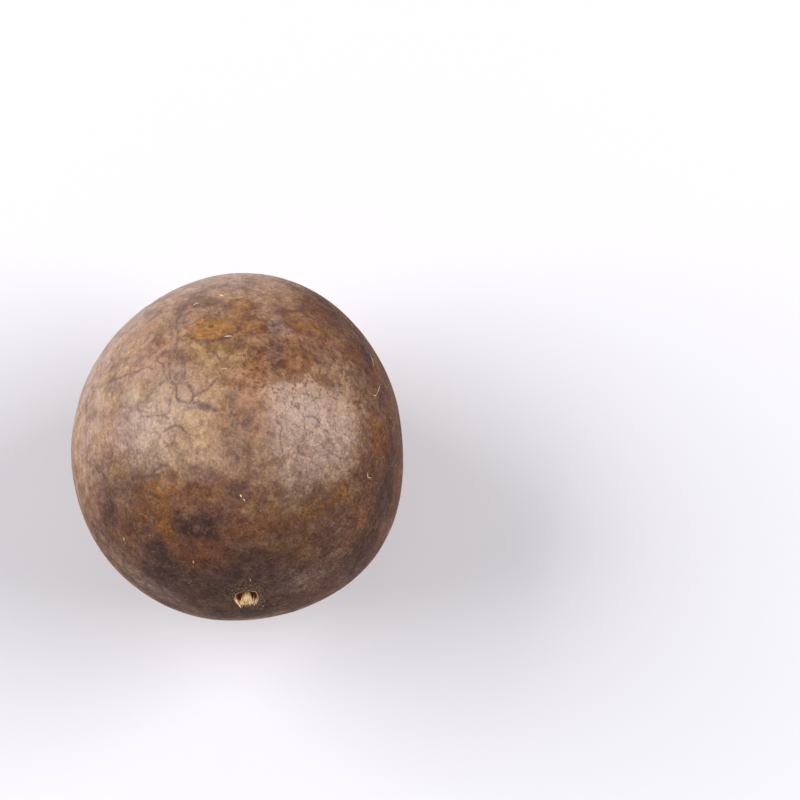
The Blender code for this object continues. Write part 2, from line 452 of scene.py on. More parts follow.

# Stained patches, and patches of painted shade and highlight, by kind. A row holds the pixel of the
# patch's middle, across and down, its half sizes in millimetres, its strength, and its turn in degrees
# where it has one.
PATCHES: dict[Stain, tuple[tuple[float, ...], ...]] = {
    # The amber callus, and the ochre flecks round it and in the dark half.
    Stain.OCHRE: (
        (212, 327, 4.2, 2.9, 1.0, 3), (236, 311, 2.6, 3.2, 0.45), (254, 325, 2.4, 2.2, 0.60),
        (207, 302, 2.2, 1.6, 0.30), (304, 322, 4.6, 3.0, 0.70, -12), (318, 309, 3.4, 2.6, 0.45, -30),
        (299, 364, 3.0, 2.4, 0.52, 10), (303, 354, 2.6, 1.5, 0.45, -16),
        (324, 379, 2.2, 1.6, 0.40, -30), (293, 377, 1.7, 1.4, 0.42), (289, 394, 1.8, 1.2, 0.22),
        (244, 302, 2.6, 1.6, 0.38, -8), (352, 352, 3.4, 3.4, 0.34), (380, 438, 2.4, 5.0, 0.42, -6),
        (374, 415, 2.2, 2.6, 0.35), (160, 340, 1.7, 3.0, 0.28, 35), (157, 487, 3.4, 2.0, 0.60, -8),
        (168, 478, 1.8, 1.6, 0.42), (164, 527, 2.4, 2.8, 0.55, 40), (340, 492, 2.2, 1.7, 0.48, 25),
    ),
    # Where the dark skin has worn off and the tan below shows, and painted highlight in the two light areas
    # of the upper half.
    Stain.WORN_AND_HIGHLIGHT: (
        (290, 392, 3.8, 2.8, 1.0), (264, 341, 3.0, 2.0, 0.40), (266, 555, 3.0, 2.0, 0.20),
        (325, 526, 3.4, 2.6, 0.26), (141, 430, 4.6, 3.6, 0.36), (204, 432, 3.8, 5.4, 0.50),
        (268, 418, 4.5, 6.0, 0.40), (206, 394, 4.0, 3.4, 0.45), (150, 382, 8.0, 8.0, 0.30),
        (207, 462, 5.0, 3.6, 0.75), (316, 350, 2.6, 2.0, 0.35), (344, 405, 3.4, 3.0, 0.35),
        (300, 408, 4.0, 4.4, 0.70), (329, 440, 4.0, 5.0, 0.40), (326, 408, 3.6, 3.6, 0.40),
        (353, 434, 3.2, 5.0, 0.45), (353, 494, 2.6, 2.6, 0.30), (262, 347, 2.4, 1.6, 0.30),
        (260, 472, 4.4, 2.4, 0.30),
    ),
    # Green clouds, mostly under the rust.
    Stain.OLIVE: (
        (351, 360, 2.6, 2.6, 0.45, -30), (214, 352, 6.0, 4.4, 0.36), (252, 352, 4.6, 3.4, 0.34),
        (298, 352, 5.6, 3.0, 0.52, -8), (336, 366, 5.0, 3.6, 0.36, -30), (330, 330, 3.6, 3.0, 0.30),
        (356, 396, 3.0, 2.8, 0.36), (166, 514, 3.2, 4.2, 0.42, 30), (309, 506, 5.0, 2.8, 0.36, 10),
        (343, 491, 2.0, 1.6, 0.62, 20), (284, 548, 5.4, 2.8, 0.34), (112, 478, 3.0, 3.4, 0.26),
        (236, 376, 3.4, 3.4, 0.34), (199, 316, 1.8, 1.4, 0.60), (216, 346, 1.8, 1.4, 0.60),
        (119, 463, 2.6, 2.2, 0.50), (308, 508, 2.2, 1.4, 0.34),
    ),
    # Rust blotches, the large ones faint and the small ones strong.
    Stain.RUST: (
        (252, 369, 2.0, 2.6, 0.42, 10), (241, 344, 2.2, 1.2, 0.42, -20),
        (294, 341, 2.0, 1.0, 0.55, -10), (221, 305, 3.4, 1.2, 0.55, -8),
        (262, 335, 6.0, 2.4, 0.45, -24), (302, 331, 4.0, 1.6, 0.62, -10), (262, 372, 3.0, 2.6, 0.40),
        (380, 372, 2.0, 4.0, 0.35, -24), (186, 497, 4.2, 2.6, 0.80, 12),
        (217, 487, 2.0, 2.6, 0.70, -14), (150, 505, 3.2, 3.4, 0.45, -20),
        (172, 521, 3.6, 2.6, 0.60, 28), (196, 552, 4.2, 3.4, 0.85, -12), (178, 540, 2.8, 2.6, 0.52, 30),
        (214, 560, 3.6, 2.6, 0.58), (238, 533, 4.6, 1.9, 0.50, 4), (254, 505, 4.4, 3.6, 0.40),
        (272, 522, 3.0, 2.8, 0.34), (330, 512, 4.0, 2.6, 0.24), (361, 518, 2.0, 2.2, 0.62, 12),
        (343, 550, 2.6, 2.2, 0.42, 34), (126, 540, 2.8, 4.0, 0.36, 24), (256, 588, 1.2, 1.5, 0.75),
        (325, 346, 2.2, 1.1, 0.60, -24), (310, 347, 2.0, 0.8, 0.55, -14), (268, 384, 1.3, 1.0, 0.50),
        (285, 374, 2.6, 2.4, 0.40), (206, 300, 1.4, 1.0, 0.40), (256, 352, 2.4, 1.4, 0.60, -20),
        (313, 342, 1.0, 0.7, 0.70), (138, 497, 1.2, 0.8, 0.60), (200, 545, 1.8, 2.6, 0.45),
        (220, 552, 1.8, 2.0, 0.45), (306, 318, 13.0, 8.0, 0.40, -20), (345, 362, 9.0, 11.0, 0.34, -20),
        (262, 345, 10.0, 6.0, 0.26, -10), (186, 528, 15.0, 9.0, 0.34), (318, 520, 15.0, 8.0, 0.16),
    ),
    # Pale waxy bloom, with painted highlight in the two light areas of the upper half and painted
    # reflection along the left and lower limb.
    Stain.BLOOM: (
        (287, 392, 2.2, 1.5, 0.40), (277, 325, 2.6, 2.6, 0.45), (299, 424, 5.0, 7.6, 0.85, -4),
        (322, 430, 5.0, 7.6, 0.80, -6), (141, 432, 5.6, 4.4, 0.95, -20), (182, 404, 3.0, 3.6, 0.42, 30),
        (168, 448, 4.0, 3.0, 0.34), (230, 284, 8.5, 3.4, 0.44, 0), (283, 331, 1.7, 3.2, 0.44, -14),
        (304, 580, 7.4, 5.4, 0.50, 24), (158, 590, 5.0, 3.0, 0.50, -30), (108, 545, 2.6, 8.0, 0.34, 28),
        (146, 586, 3.0, 7.5, 0.30, 48), (340, 586, 3.4, 8.5, 0.30, -48), (298, 404, 3.4, 3.4, 0.70),
        (330, 438, 5.0, 6.0, 0.80), (176, 376, 3.6, 3.6, 0.24), (146, 388, 12.0, 12.0, 0.30),
        (118, 415, 7.0, 11.0, 0.26), (86, 408, 5.0, 12.0, 0.75), (106, 352, 5.0, 10.0, 0.30, -36),
        (150, 316, 8.0, 6.0, 0.30, 40), (293, 440, 3.2, 7.4, 0.55), (332, 450, 1.2, 1.2, 0.60),
        (340, 533, 4.4, 3.4, 0.28),
    ),
    # Bruised purple clouds; those along the right limb also paint shade there.
    Stain.PLUM: (
        (183, 315, 2.6, 5.0, 0.62, -28), (188, 298, 3.4, 2.4, 0.50, 14), (178, 366, 1.9, 3.8, 0.36, 6),
        (231, 397, 1.5, 1.7, 0.42), (276, 348, 1.6, 5.4, 0.62, 6), (284, 318, 2.2, 4.2, 0.62, -10),
        (329, 358, 3.6, 2.6, 0.62, -20), (325, 382, 1.9, 2.6, 0.55), (308, 358, 1.4, 1.1, 0.75, -20),
        (257, 347, 2.2, 0.9, 0.42, -24), (265, 352, 1.6, 1.0, 0.36, -30), (236, 524, 2.6, 2.0, 0.30),
        (341, 350, 1.7, 1.2, 0.60, -30), (368, 352, 2.6, 6.5, 0.58, -34),
        (386, 392, 2.4, 6.5, 0.50, -14), (352, 420, 3.0, 5.4, 0.26, -6), (199, 470, 1.9, 1.6, 0.62),
        (205, 481, 3.4, 2.0, 0.55, -16), (237, 489, 2.2, 2.4, 0.42), (104, 497, 2.8, 5.4, 0.60, 10),
        (124, 493, 2.0, 3.0, 0.30, 10), (198, 524, 4.4, 2.6, 0.55, -6), (222, 511, 3.4, 2.6, 0.52, 10),
        (183, 533, 2.6, 3.8, 0.75, 20), (146, 544, 3.4, 5.0, 0.34, 34), (165, 580, 5.6, 4.4, 0.72, 22),
        (206, 594, 6.4, 4.0, 0.70, 6), (244, 566, 6.4, 5.2, 0.85, 4), (222, 580, 4.4, 3.6, 0.60),
        (279, 579, 4.4, 5.4, 0.62, -20), (283, 496, 1.6, 5.4, 0.36, 4), (298, 495, 3.4, 2.6, 0.50),
        (358, 375, 3.4, 5.4, 0.58, -20), (324, 315, 4.4, 3.0, 0.44, -30), (281, 373, 2.4, 3.4, 0.44),
        (372, 500, 2.8, 5.4, 0.42, 10), (180, 377, 1.2, 1.0, 0.75), (214, 311, 1.6, 1.2, 0.55, -20),
        (168, 371, 1.7, 1.7, 0.25), (205, 406.5, 2.4, 0.8, 0.62, -14), (232, 488, 1.3, 1.5, 0.65),
        (195, 502, 1.2, 0.9, 0.60), (154, 549, 1.6, 1.2, 0.60), (145, 567, 2.6, 2.6, 0.45, 30),
        (381, 452, 1.2, 1.4, 0.50), (238, 426, 2.8, 6.4, 0.42), (250, 445, 5.4, 4.6, 0.28),
        (222, 443, 2.4, 3.4, 0.26), (238, 464, 5.4, 2.6, 0.28), (262, 394, 2.6, 2.2, 0.16),
    ),
    # The darkest smudges and spots; the first six, along the right and lower limb, are painted shade.
    Stain.SOOT_AND_SHADE: (
        (387, 496, 3.0, 7.0, 1.0, -10), (376, 524, 3.0, 5.0, 0.50, -24),
        (358, 556, 3.8, 5.4, 0.85, -40), (358, 345, 3.0, 5.4, 0.60, -40),
        (328, 314, 5.0, 3.0, 0.62, -36), (236, 614, 10.0, 2.6, 0.70), (196, 526, 4.6, 2.8, 0.62, -16),
        (162, 556, 3.6, 2.4, 0.72, -14), (206, 537, 2.8, 1.3, 0.58, -10),
        (110, 515, 1.7, 3.4, 0.52, 16), (231, 571, 3.0, 3.2, 0.42), (241, 588, 4.4, 2.4, 0.62),
        (280, 347, 0.8, 1.8, 0.42), (307, 359, 1.2, 0.9, 0.40), (330, 495, 1.8, 0.8, 0.48, 14),
        (196.5, 452, 0.5, 0.4, 0.85), (129, 483, 0.8, 0.8, 0.50), (162, 464.5, 0.7, 0.6, 0.50),
        (180, 337, 0.6, 0.6, 0.60), (244, 450, 0.5, 0.6, 0.50), (318, 360, 0.6, 0.8, 0.60),
        (253, 514, 0.8, 0.6, 0.50), (258, 508, 0.6, 1.0, 0.45),
    ),
    # Where the skin is freckled.
    Stain.FRECKLE: (
        (262, 355, 7.5, 6.5, 0.85), (312, 352, 7.5, 7.5, 1.0), (355, 375, 5.5, 9.0, 0.75),
        (345, 500, 7.0, 7.5, 0.65), (300, 420, 8.0, 8.0, 0.40), (196, 520, 12.0, 8.0, 0.45),
        (300, 340, 15.0, 10.0, 0.60), (366, 420, 5.0, 11.0, 0.55),
    ),
    # Painted shade: darker skin on the lower half and the right limb, which is also rougher there.
    Stain.PAINTED_SHADE: (
        (120, 466, 5.0, 4.0, 0.35), (216, 545, 30.0, 14.0, 0.62), (140, 530, 13.0, 10.0, 0.40, 20),
        (190, 560, 16.0, 10.0, 0.40), (150, 570, 10.0, 12.0, 0.26, 40), (244, 606, 26.0, 9.0, 0.90),
        (236, 614, 30.0, 6.0, 0.50), (124, 556, 8.0, 12.0, 0.24, 50), (320, 560, 16.0, 15.0, 0.40),
        (352, 548, 13.0, 14.0, 0.60, -40), (382, 505, 10.0, 16.0, 0.90, -12),
        (388, 498, 6.0, 12.0, 0.85, -12), (357, 555, 7.0, 8.0, 0.60, -40), (394, 440, 7.4, 15.0, 0.92),
        (386, 376, 9.0, 14.0, 0.95, 18), (350, 324, 12.0, 11.0, 0.92, 46),
        (332, 306, 6.0, 7.0, 0.60, 30), (355, 350, 5.0, 7.0, 0.34, 20), (354, 331, 7.0, 8.0, 0.60, 46),
        (372, 545, 9.0, 12.0, 0.80, -30), (340, 582, 9.0, 10.0, 0.60, -48),
        (306, 318, 14.0, 8.0, 0.30, -20),
    ),
    # Where hair cracks show.
    Stain.CRACKLE: (
        (309, 423, 4.6, 5.4, 1.0), (160, 412, 5.4, 4.6, 0.55), (320, 395, 5.0, 4.0, 0.45),
    ),
}

VEINS: tuple[Vein, ...] = (
    # The dark slit below the loops, and the thin line that runs on from it.
    Vein(((193, 402.5), (199, 404), (206, 406), (212, 408), (217, 410)), 0.42, 0.90),
    Vein(((197, 407.5), (203, 409.5), (210, 411), (217, 411)), 0.16, 0.55),
    Vein(((218, 413), (224, 414.5), (231, 414.5), (238, 415)), 0.30, 0.45),
    # The forked line from the left limb.
    Vein(((108, 381), (111, 378), (115, 373.5), (120, 369.5), (126, 365.5)), 0.26, 0.60),
    Vein(((110, 380.5), (116, 379), (121, 377), (126, 374.5), (131, 372.5), (137, 371.5)), 0.26, 0.80),
    Vein(((137, 371.5), (143, 368), (148, 367), (152, 368.5)), 0.22, 0.80),
    Vein(((109, 380), (113, 378), (117, 378)), 0.45, 0.55),
    # The net left of and below the callus.
    Vein(
        ((183, 308), (180, 314), (177, 319), (176.5, 326), (177.5, 334), (177, 342), (174.5, 351)),
        0.30,
        0.85,
    ),
    Vein(((161, 353), (166, 351.5), (172, 351.5), (177, 351)), 0.26, 0.65),
    Vein(((165, 350), (161, 354), (157.5, 359), (159, 362), (163, 364), (163.5, 368)), 0.28, 0.90),
    Vein(((163.5, 368), (165, 374), (166.5, 379), (171, 383), (176, 385)), 0.28, 0.90),
    Vein(((169.5, 352), (169, 360), (169.5, 366), (169, 372), (170, 378), (174, 383)), 0.28, 0.85),
    Vein(((183, 350), (183, 358), (184, 366), (185, 373), (181, 379)), 0.34, 0.80),
    Vein(((175.5, 384), (176.5, 389), (176.5, 395), (177.5, 400), (183, 401), (187, 402.5)), 0.28, 1.0),
    Vein(((187, 402.5), (191.5, 401.5), (192.8, 396), (192.5, 391), (190, 386), (186, 383)), 0.28, 1.0),
    Vein(((186, 383), (181, 382), (176, 384)), 0.26, 0.80),
    Vein(((191.5, 402), (193.5, 405)), 0.26, 0.70),
    Vein(
        ((192.5, 397), (198, 394), (202, 391.5), (207, 389), (210, 386), (214, 381.5), (218, 378)),
        0.26,
        0.85,
    ),
    Vein(((199, 393), (204, 390.5), (208, 387.5)), 0.42, 0.55),
    Vein(
        ((165, 380), (160, 383.5), (155, 388.5), (151, 393), (147, 397), (144, 401), (139.5, 401.5)),
        0.27,
        0.85,
    ),
    Vein(((144.5, 402), (150, 401.5)), 0.24, 0.60),
    Vein(((139.5, 401.5), (137.5, 405), (139, 410), (142, 415), (144, 416)), 0.26, 0.80),
    Vein(
        ((140, 416.5), (146, 416), (151, 416.5), (156, 415), (161, 415.3), (165, 416.3), (168, 418.5)),
        0.26,
        0.85,
    ),
    Vein(((171, 398), (170, 403), (169.8, 410), (166, 413.5), (161, 415.5)), 0.26, 0.80),
    Vein(((145.5, 406), (148, 408.5), (151, 406)), 0.24, 0.55),
    Vein(((155, 404), (158, 410)), 0.20, 0.35),
    Vein(((151, 417), (151.5, 424)), 0.22, 0.55),
    Vein(((141, 417), (140, 423)), 0.20, 0.40),
    Vein(((156, 421), (163, 422.5), (171, 423)), 0.22, 0.45),
    Vein(((151, 433), (157, 432), (164, 431)), 0.20, 0.50),
    Vein(((164, 431), (169, 428), (174, 426.5), (179, 426), (183, 429), (186.5, 433)), 0.25, 0.95),
    Vein(((186.5, 433), (189, 438), (192, 445)), 0.22, 0.60),
    Vein(((166, 434), (174, 431), (181, 433.5), (186, 437)), 0.16, 0.40),
    Vein(((168, 437.5), (175, 435), (182, 438)), 0.15, 0.35),
    Vein(((208, 341), (208.5, 349), (214, 352), (218, 356), (221.5, 362)), 0.26, 0.75),
    Vein(((201, 339.5), (208, 341), (216, 340.5), (224, 337.5)), 0.26, 0.60),
    Vein(((197, 448.5), (203, 450), (209, 447)), 0.20, 0.35),
    # Round the small ochre spot above the callus, and the wrinkles at the top.
    Vein(((203, 297), (209, 296.5), (215, 298.5), (221, 301), (224, 305.5), (222.5, 310)), 0.34, 0.65),
    Vein(((213, 313), (218, 317), (225, 319), (231, 321.5), (236, 325), (238, 330)), 0.34, 0.70),
    Vein(((226, 336.5), (219, 338.5), (211, 341), (203, 341.5), (195, 339.5)), 0.30, 0.60),
    Vein(((202.5, 284), (203, 290), (198.5, 296), (197, 301)), 0.30, 0.55),
    Vein(((206, 288), (210, 286.5), (215, 288)), 0.17, 0.55),
    Vein(((208, 290.5), (213, 289), (218, 289.5)), 0.16, 0.45),
    Vein(((207, 285.5), (212, 284.5)), 0.16, 0.40),
    Vein(((185, 303.5), (189, 303.5), (193, 305)), 0.18, 0.75),
    Vein(((198, 304), (202, 303)), 0.20, 0.70),
    Vein(((145, 317), (151, 312), (158, 308), (168, 305.5)), 0.18, 0.40),
    Vein(((152, 319), (158, 314), (165, 311)), 0.20, 0.40),
    Vein(((163, 326), (164, 331), (168, 329), (170, 323)), 0.22, 0.45),
    Vein(((144, 337), (148, 334), (151, 332)), 0.20, 0.40),
    Vein(((133, 347), (138, 343), (142, 340)), 0.18, 0.35),
    Vein(((109, 363), (114, 356), (119, 350)), 0.22, 0.35),
    Vein(((124, 353), (126.5, 360), (128, 366)), 0.20, 0.25),
    # The edge of the dark lower half.
    Vein(
        ((127, 489), (128.5, 484), (132, 480), (136, 478.3), (144, 478), (148, 476.5), (152, 475.5)),
        0.32,
        1.0,
    ),
    Vein(((152, 475.5), (154.5, 472), (157, 469), (160, 466), (162.5, 464.5), (167, 466.5)), 0.32, 0.95),
    Vein(((167, 466.5), (175, 472), (182, 480)), 0.22, 0.40),
    Vein(((188, 472), (192, 468.5), (197, 467), (200, 469.5), (201, 473)), 0.36, 0.60),
    Vein(((201, 476), (210, 475.5), (218, 477), (224, 480)), 0.28, 0.50),
    Vein(((232, 486), (240, 489), (248, 488), (254, 486.5), (262, 488), (268, 491)), 0.28, 0.50),
    Vein(((207, 507), (213, 503), (221, 505), (216, 509)), 0.30, 0.50),
    Vein(((145, 526), (152, 523.5), (158, 521)), 0.42, 0.60),
    # Fine cracks of the right half.
    Vein(((276, 420), (282, 427), (280, 434), (281, 444), (282.5, 452)), 0.18, 0.75),
    Vein(((285, 421), (287, 427)), 0.18, 0.50),
    Vein(((291, 401.5), (294, 405.5), (298, 407.5)), 0.15, 0.80),
    Vein(((303, 413), (304, 418), (304.5, 424), (305.5, 431), (305, 438), (305.5, 444)), 0.14, 0.70),
    Vein(((307, 416.5), (313, 416.3), (316, 418), (319, 421), (320.5, 424)), 0.16, 0.95),
    Vein(((312, 422), (315, 427)), 0.12, 0.45),
    Vein(((330, 423), (331, 428)), 0.14, 0.45),
    Vein(((302, 448), (304, 456)), 0.16, 0.55),
    Vein(((320, 464), (322, 470)), 0.18, 0.55),
    Vein(((256, 303.5), (262, 303)), 0.16, 0.65),
    Vein(((272, 303), (276, 302.5)), 0.20, 0.55),
    Vein(((264, 319.5), (270, 320)), 0.24, 0.70),
    Vein(((296, 321), (304, 323.5), (312, 326.5)), 0.34, 0.60),
    Vein(((283, 336), (286, 332)), 0.20, 0.50),
    Vein(((281, 345), (280.5, 351)), 0.26, 0.75),
    Vein(((276, 356), (273, 366), (277, 374)), 0.24, 0.40),
    Vein(((364, 449), (368, 448.5), (372, 449)), 0.14, 0.55),
    Vein(((368, 445), (368, 452)), 0.14, 0.55),
    Vein(((311.5, 498.5), (309, 503)), 0.30, 0.95),
    Vein(((320, 495), (326, 497), (334, 492)), 0.26, 0.60),
    Vein(((283, 545), (288, 543), (291, 547), (288, 551)), 0.18, 0.40),
    Vein(((297, 540), (299, 545), (295, 549)), 0.18, 0.35),
)


class Sight:
    """Finds places on the skin by their pixels in the camera's picture."""

    def __init__(self, view: PhotoView, form: FruitForm, vertices: Points, faces: Points) -> None:
        """Readies the skin for casting.

        Args:
            view: The camera.
            form: The fruit's form, where it lies.
            vertices: The skin's points on the ground, in millimetres.
            faces: The skin's faces, as indices.
        """
        self.view = view
        self.middle = Vector(form.middle)
        self.radius = form.half_width
        self.eye = view.eye(self.middle)
        self.tree = BVHTree.FromPolygons(vertices.tolist(), faces.tolist())

    def place(self, pixel: Pixel) -> tuple[Vector, Vector]:
        """Casts a pixel onto the skin.

        Args:
            pixel: Where the camera's picture shows the place.

        Returns:
            The place and the skin's outward direction there, in millimetres.
        """
        spot, normal, _, _ = self.tree.ray_cast(self.eye, self.view.sight(pixel))
        if spot is None:
            raise ValueError(f"pixel {pixel} isn't on the fruit")
        return spot, normal

    def nearest(self, point: Vector) -> tuple[Vector, Vector]:
        """The skin's nearest place to a point, and its outward direction there."""
        spot, normal, _, _ = self.tree.find_nearest(point)
        return spot, normal

    def anywhere(self, draw: np.random.Generator) -> tuple[Vector, Vector]:
        """Draws a place on the skin.

        Args:
            draw: Where the chance values come from.

        Returns:
            The place and the skin's outward direction there, in millimetres.
        """
        ray = Vector(draw.normal(size=3)).normalized()
        return self.nearest(self.middle + ray * self.radius)

    def spot(self, stain: Stain, patch: Patch) -> Spot:
        """Sets a patch on the skin.

        Args:
            stain: What it is stained with.
            patch: The patch, placed by its pixel.

        Returns:
            The patch with its real place and directions.
        """
        middle, normal = self.place((patch.across, patch.down))
        right, up, _ = self.view.axes()
        turn = math.radians(patch.turn)
        along = right * math.cos(turn) + up * math.sin(turn)
        first = (along - normal * along.dot(normal)).normalized()
        places = [np.array(vector) for vector in (middle, first, normal.cross(first))]
        return Spot(stain, *places, (patch.half_width, patch.half_height), patch.strength)

    def sees(self, normals: Points, margin: float) -> Points:
        """Which of these outward directions face the camera by more than a margin."""
        return normals @ np.array(self.view.axes()[2]) > margin


@dataclass(frozen=True)
class WildMarks:
    """The chance stains and veins of the sides that the photo doesn't show."""

    sight: Sight
    places: Points
    normals: Points
    seed: int = 71
    patches: int = 190
    veins: int = 64
    # How far into the camera's view the marks reach, and how much further in a vein may start.
    margin: float = 0.10
    vein_margin: float = 0.05
    # Least and most of a patch's breadth for its width, and of its strength.
    patch_breadth: tuple[float, float] = (0.45, 0.9)
    patch_strength: tuple[float, float] = (0.35, 0.85)
    # Least and most of a vein's steps, half width in millimetres and strength.
    vein_steps: tuple[int, int] = (4, 14)
    vein_half_width: tuple[float, float] = (0.14, 0.26)
    vein_strength: tuple[float, float] = (0.30, 0.85)
    # How long a vein's step is, in millimetres, and how much it turns from one to the next.
    vein_step: float = 1.1
    vein_wander: float = 0.45
    # Each kind with its chance, and its least and most half width in millimetres.
    kinds: tuple[tuple[Stain, float, float, float], ...] = (
        (Stain.RUST, 0.23, 2.0, 4.6),
        (Stain.PLUM, 0.27, 1.6, 5.6),
        (Stain.OLIVE, 0.14, 2.4, 5.4),
        (Stain.OCHRE, 0.12, 1.6, 4.2),
        (Stain.SOOT_AND_SHADE, 0.08, 0.9, 3.0),
        (Stain.BLOOM, 0.08, 3.0, 7.0),
        (Stain.FRECKLE, 0.08, 5.0, 9.0),
    )

    def hidden(self, margin: float) -> Points:
        """Which of the places the camera doesn't see, by this margin."""
        return np.flatnonzero(~self.sight.sees(self.normals, margin))

    def spots(self) -> list[Spot]:
        """Draws patches where the camera doesn't look.

        Returns:
            The patches, set on the skin.
        """
        draw = np.random.default_rng(self.seed)
        hidden = self.hidden(self.margin)
        chances = np.array([kind[1] for kind in self.kinds])
        made = []
        for _ in range(self.patches):
            index = draw.choice(hidden)
            stain, _, small, large = self.kinds[draw.choice(len(self.kinds), p=chances / chances.sum())]
            first = unit(np.cross(self.normals[index], draw.normal(size=3)))
            second = np.cross(self.normals[index], first)
            wide = draw.uniform(small, large)
            half = (wide, wide * draw.uniform(*self.patch_breadth))
            strength = draw.uniform(*self.patch_strength)
            made.append(Spot(stain, self.places[index], first, second, half, strength))
        return made

    def lines(self) -> list[SkinLine]:
        """Lets veins wander where the camera doesn't look.

        Returns:
            The veins.
        """
        draw = np.random.default_rng(self.seed + 1)
        hidden = self.hidden(self.margin + self.vein_margin)
        made = []
        for _ in range(self.veins):
            index = draw.choice(hidden)
            point, normal = Vector(self.places[index]), Vector(self.normals[index])
            heading = normal.cross(Vector(draw.normal(size=3))).normalized()
            path = [point]
            for _ in range(draw.integers(*self.vein_steps)):
                turn = draw.normal(0.0, self.vein_wander)
                heading = (heading + normal.cross(heading) * turn).normalized()
                point, normal = self.sight.nearest(point + heading * self.vein_step)
                if self.sight.sees(np.array(normal), self.margin):
                    break
                heading = (heading - normal * heading.dot(normal)).normalized()
                path.append(point)
            if len(path) > 2:
                half_width = draw.uniform(*self.vein_half_width)
                strength = draw.uniform(*self.vein_strength)
                made.append(SkinLine(curve_through(np.array(path)), half_width, strength))
        return made


def curve_through(points: Points, steps: int = 6) -> Points:
    """A smooth curve through points.

    Args:
        points: The points that it passes.
        steps: Steps from one point to the next.

    Returns:
        The curve's points.
    """
    padded = np.vstack([2 * points[0] - points[1], points, 2 * points[-1] - points[-2]])
    made = []
    for before, start, stop, after in zip(padded, padded[1:], padded[2:], padded[3:]):
        for share in np.arange(steps) / steps:
            bend = (2 * before - 5 * start + 4 * stop - after) * share**2
            twist = (3 * start - before - 3 * stop + after) * share**3
            made.append(0.5 * (2 * start + (stop - before) * share + bend + twist))
    made.append(points[-1])
    return np.array(made)


@dataclass(frozen=True)
class SkinLine:
    """A line on the skin: its points in millimetres, half width and strength."""

    path: Points
    half_width: float
    strength: float

    def gap(self, other: SkinLine) -> float:
        """The least distance between this line's points and another's."""
        return float(np.linalg.norm(self.path[:, None] - other.path[None], axis=2).min())

    def trace(self, points: Points, normals: Points) -> tuple[Points, Points, Points]:
        """Measures points against the line.

        Args:
            points: The points to measure.
            normals: The skin's outward directions there.

        Returns:
            Their distance, which side of the line they lie on, and how far past its ends they are.
        """
        nearest = np.full(len(points), np.inf)
        side, past = np.ones(len(points)), np.zeros(len(points))
        for start, stop in zip(self.path, self.path[1:]):
            run = stop - start
            offset = points - start
            share = offset @ run / (run @ run)
            away = np.linalg.norm(offset - np.clip(share, 0.0, 1.0)[:, None] * run, axis=1)
            closer = away < nearest
            turned = np.sum(np.cross(run, offset[closer]) * normals[closer], axis=1)
            nearest[closer] = away[closer]
            side[closer] = np.where(turned < 0.0, -1.0, 1.0)
            past[closer] = np.maximum(-share, share - 1.0)[closer] * np.linalg.norm(run)
        return nearest, side, past


class LineLayers:
    """Lines on the skin in a few layers, so that lines of one layer stay clear of each other.

    Each vertex holds how many half widths it lies from the nearest line of a layer, with a sign for
    its side, so that the finish can draw the line finer than the mesh.
    """

    COUNT = 4
    # A line's strength is full out to CORE and gone at REACH, and its ends fade over END, in millimetres.
    REACH = 1.0
    CORE = 0.6
    END = 0.45
    # The offset, in half widths, where no line is near.
    FAR = 9.0

    def __init__(self, lines: Iterable[SkinLine]) -> None:
        """Shares the lines out.

        Args:
            lines: All the lines.
        """
        self.layers: list[list[SkinLine]] = [[] for _ in range(self.COUNT)]
        for line in lines:
            gaps = [min(map(line.gap, layer), default=math.inf) for layer in self.layers]
            self.layers[int(np.argmax(gaps))].append(line)

    def measure(self, points: Points, normals: Points, fade: Points) -> list[tuple[Points, Points]]:
        """Measures every vertex against every layer.

        Args:
            points: The vertices, in millimetres.
            normals: The skin's outward directions there.
            fade: How strongly lines show there.

        Returns:
            For each layer the signed distance in half widths, and the line's strength.
        """
        return [self.measure_layer(layer, points, normals, fade) for layer in self.layers]

    def measure_layer(
        self, lines: list[SkinLine], points: Points, normals: Points, fade: Points
    ) -> tuple[Points, Points]:
        """Measures every vertex against the lines of one layer.

        Args:
            lines: The layer's lines.
            points: The vertices, in millimetres.
            normals: The skin's outward directions there.
            fade: How strongly lines show there.

        Returns:
            The signed distance from the nearest line in half widths, and that line's strength.
        """
        nearest = np.full(len(points), np.inf)
        offset, strength = np.full(len(points), self.FAR), np.zeros(len(points))
        for line in lines:
            low, high = line.path.min(0) - self.REACH, line.path.max(0) + self.REACH
            index = np.flatnonzero(np.all((points > low) & (points < high), axis=1))
            away, side, past = line.trace(points[index], normals[index])
            ahead = away < np.minimum(nearest[index], self.REACH)
            index, away, side, past = index[ahead], away[ahead], side[ahead], past[ahead]
            nearest[index] = away
            offset[index] = side * away / line.half_width
            shown = line.strength * fade[index] * eased(past, self.END, 0.0)
            strength[index] = shown * eased(away, self.REACH, self.CORE)
        return offset, strength


def new_object(name: str, vertices: Points, faces: Sequence[Sequence[int]]) -> bpy.types.Object:
    """Makes a smooth-shaded mesh object from points in millimetres.

    Args:
        name: The piece's name.
        vertices: Its points, in millimetres.
        faces: Its faces, as indices.

    Returns:
        The object, in metres.
    """
    mesh = bpy.data.meshes.new(name)
    mesh.from_pydata((vertices * MM).tolist(), [], [tuple(face) for face in faces])
    mesh.validate()
    mesh.shade_smooth()
    piece = bpy.data.objects.new(name, mesh)
    bpy.context.scene.collection.objects.link(piece)
    return piece


def add_attribute(piece: bpy.types.Object, name: str, values: Points) -> None:
    """Stores a value for each vertex, for the materials to read.

    Args:
        piece: The mesh object.
        name: The attribute's name.
        values: A value for each vertex.
    """
    layer = piece.data.attributes.new(name, "FLOAT", "POINT")
    layer.data.foreach_set("value", values.astype(np.float32))


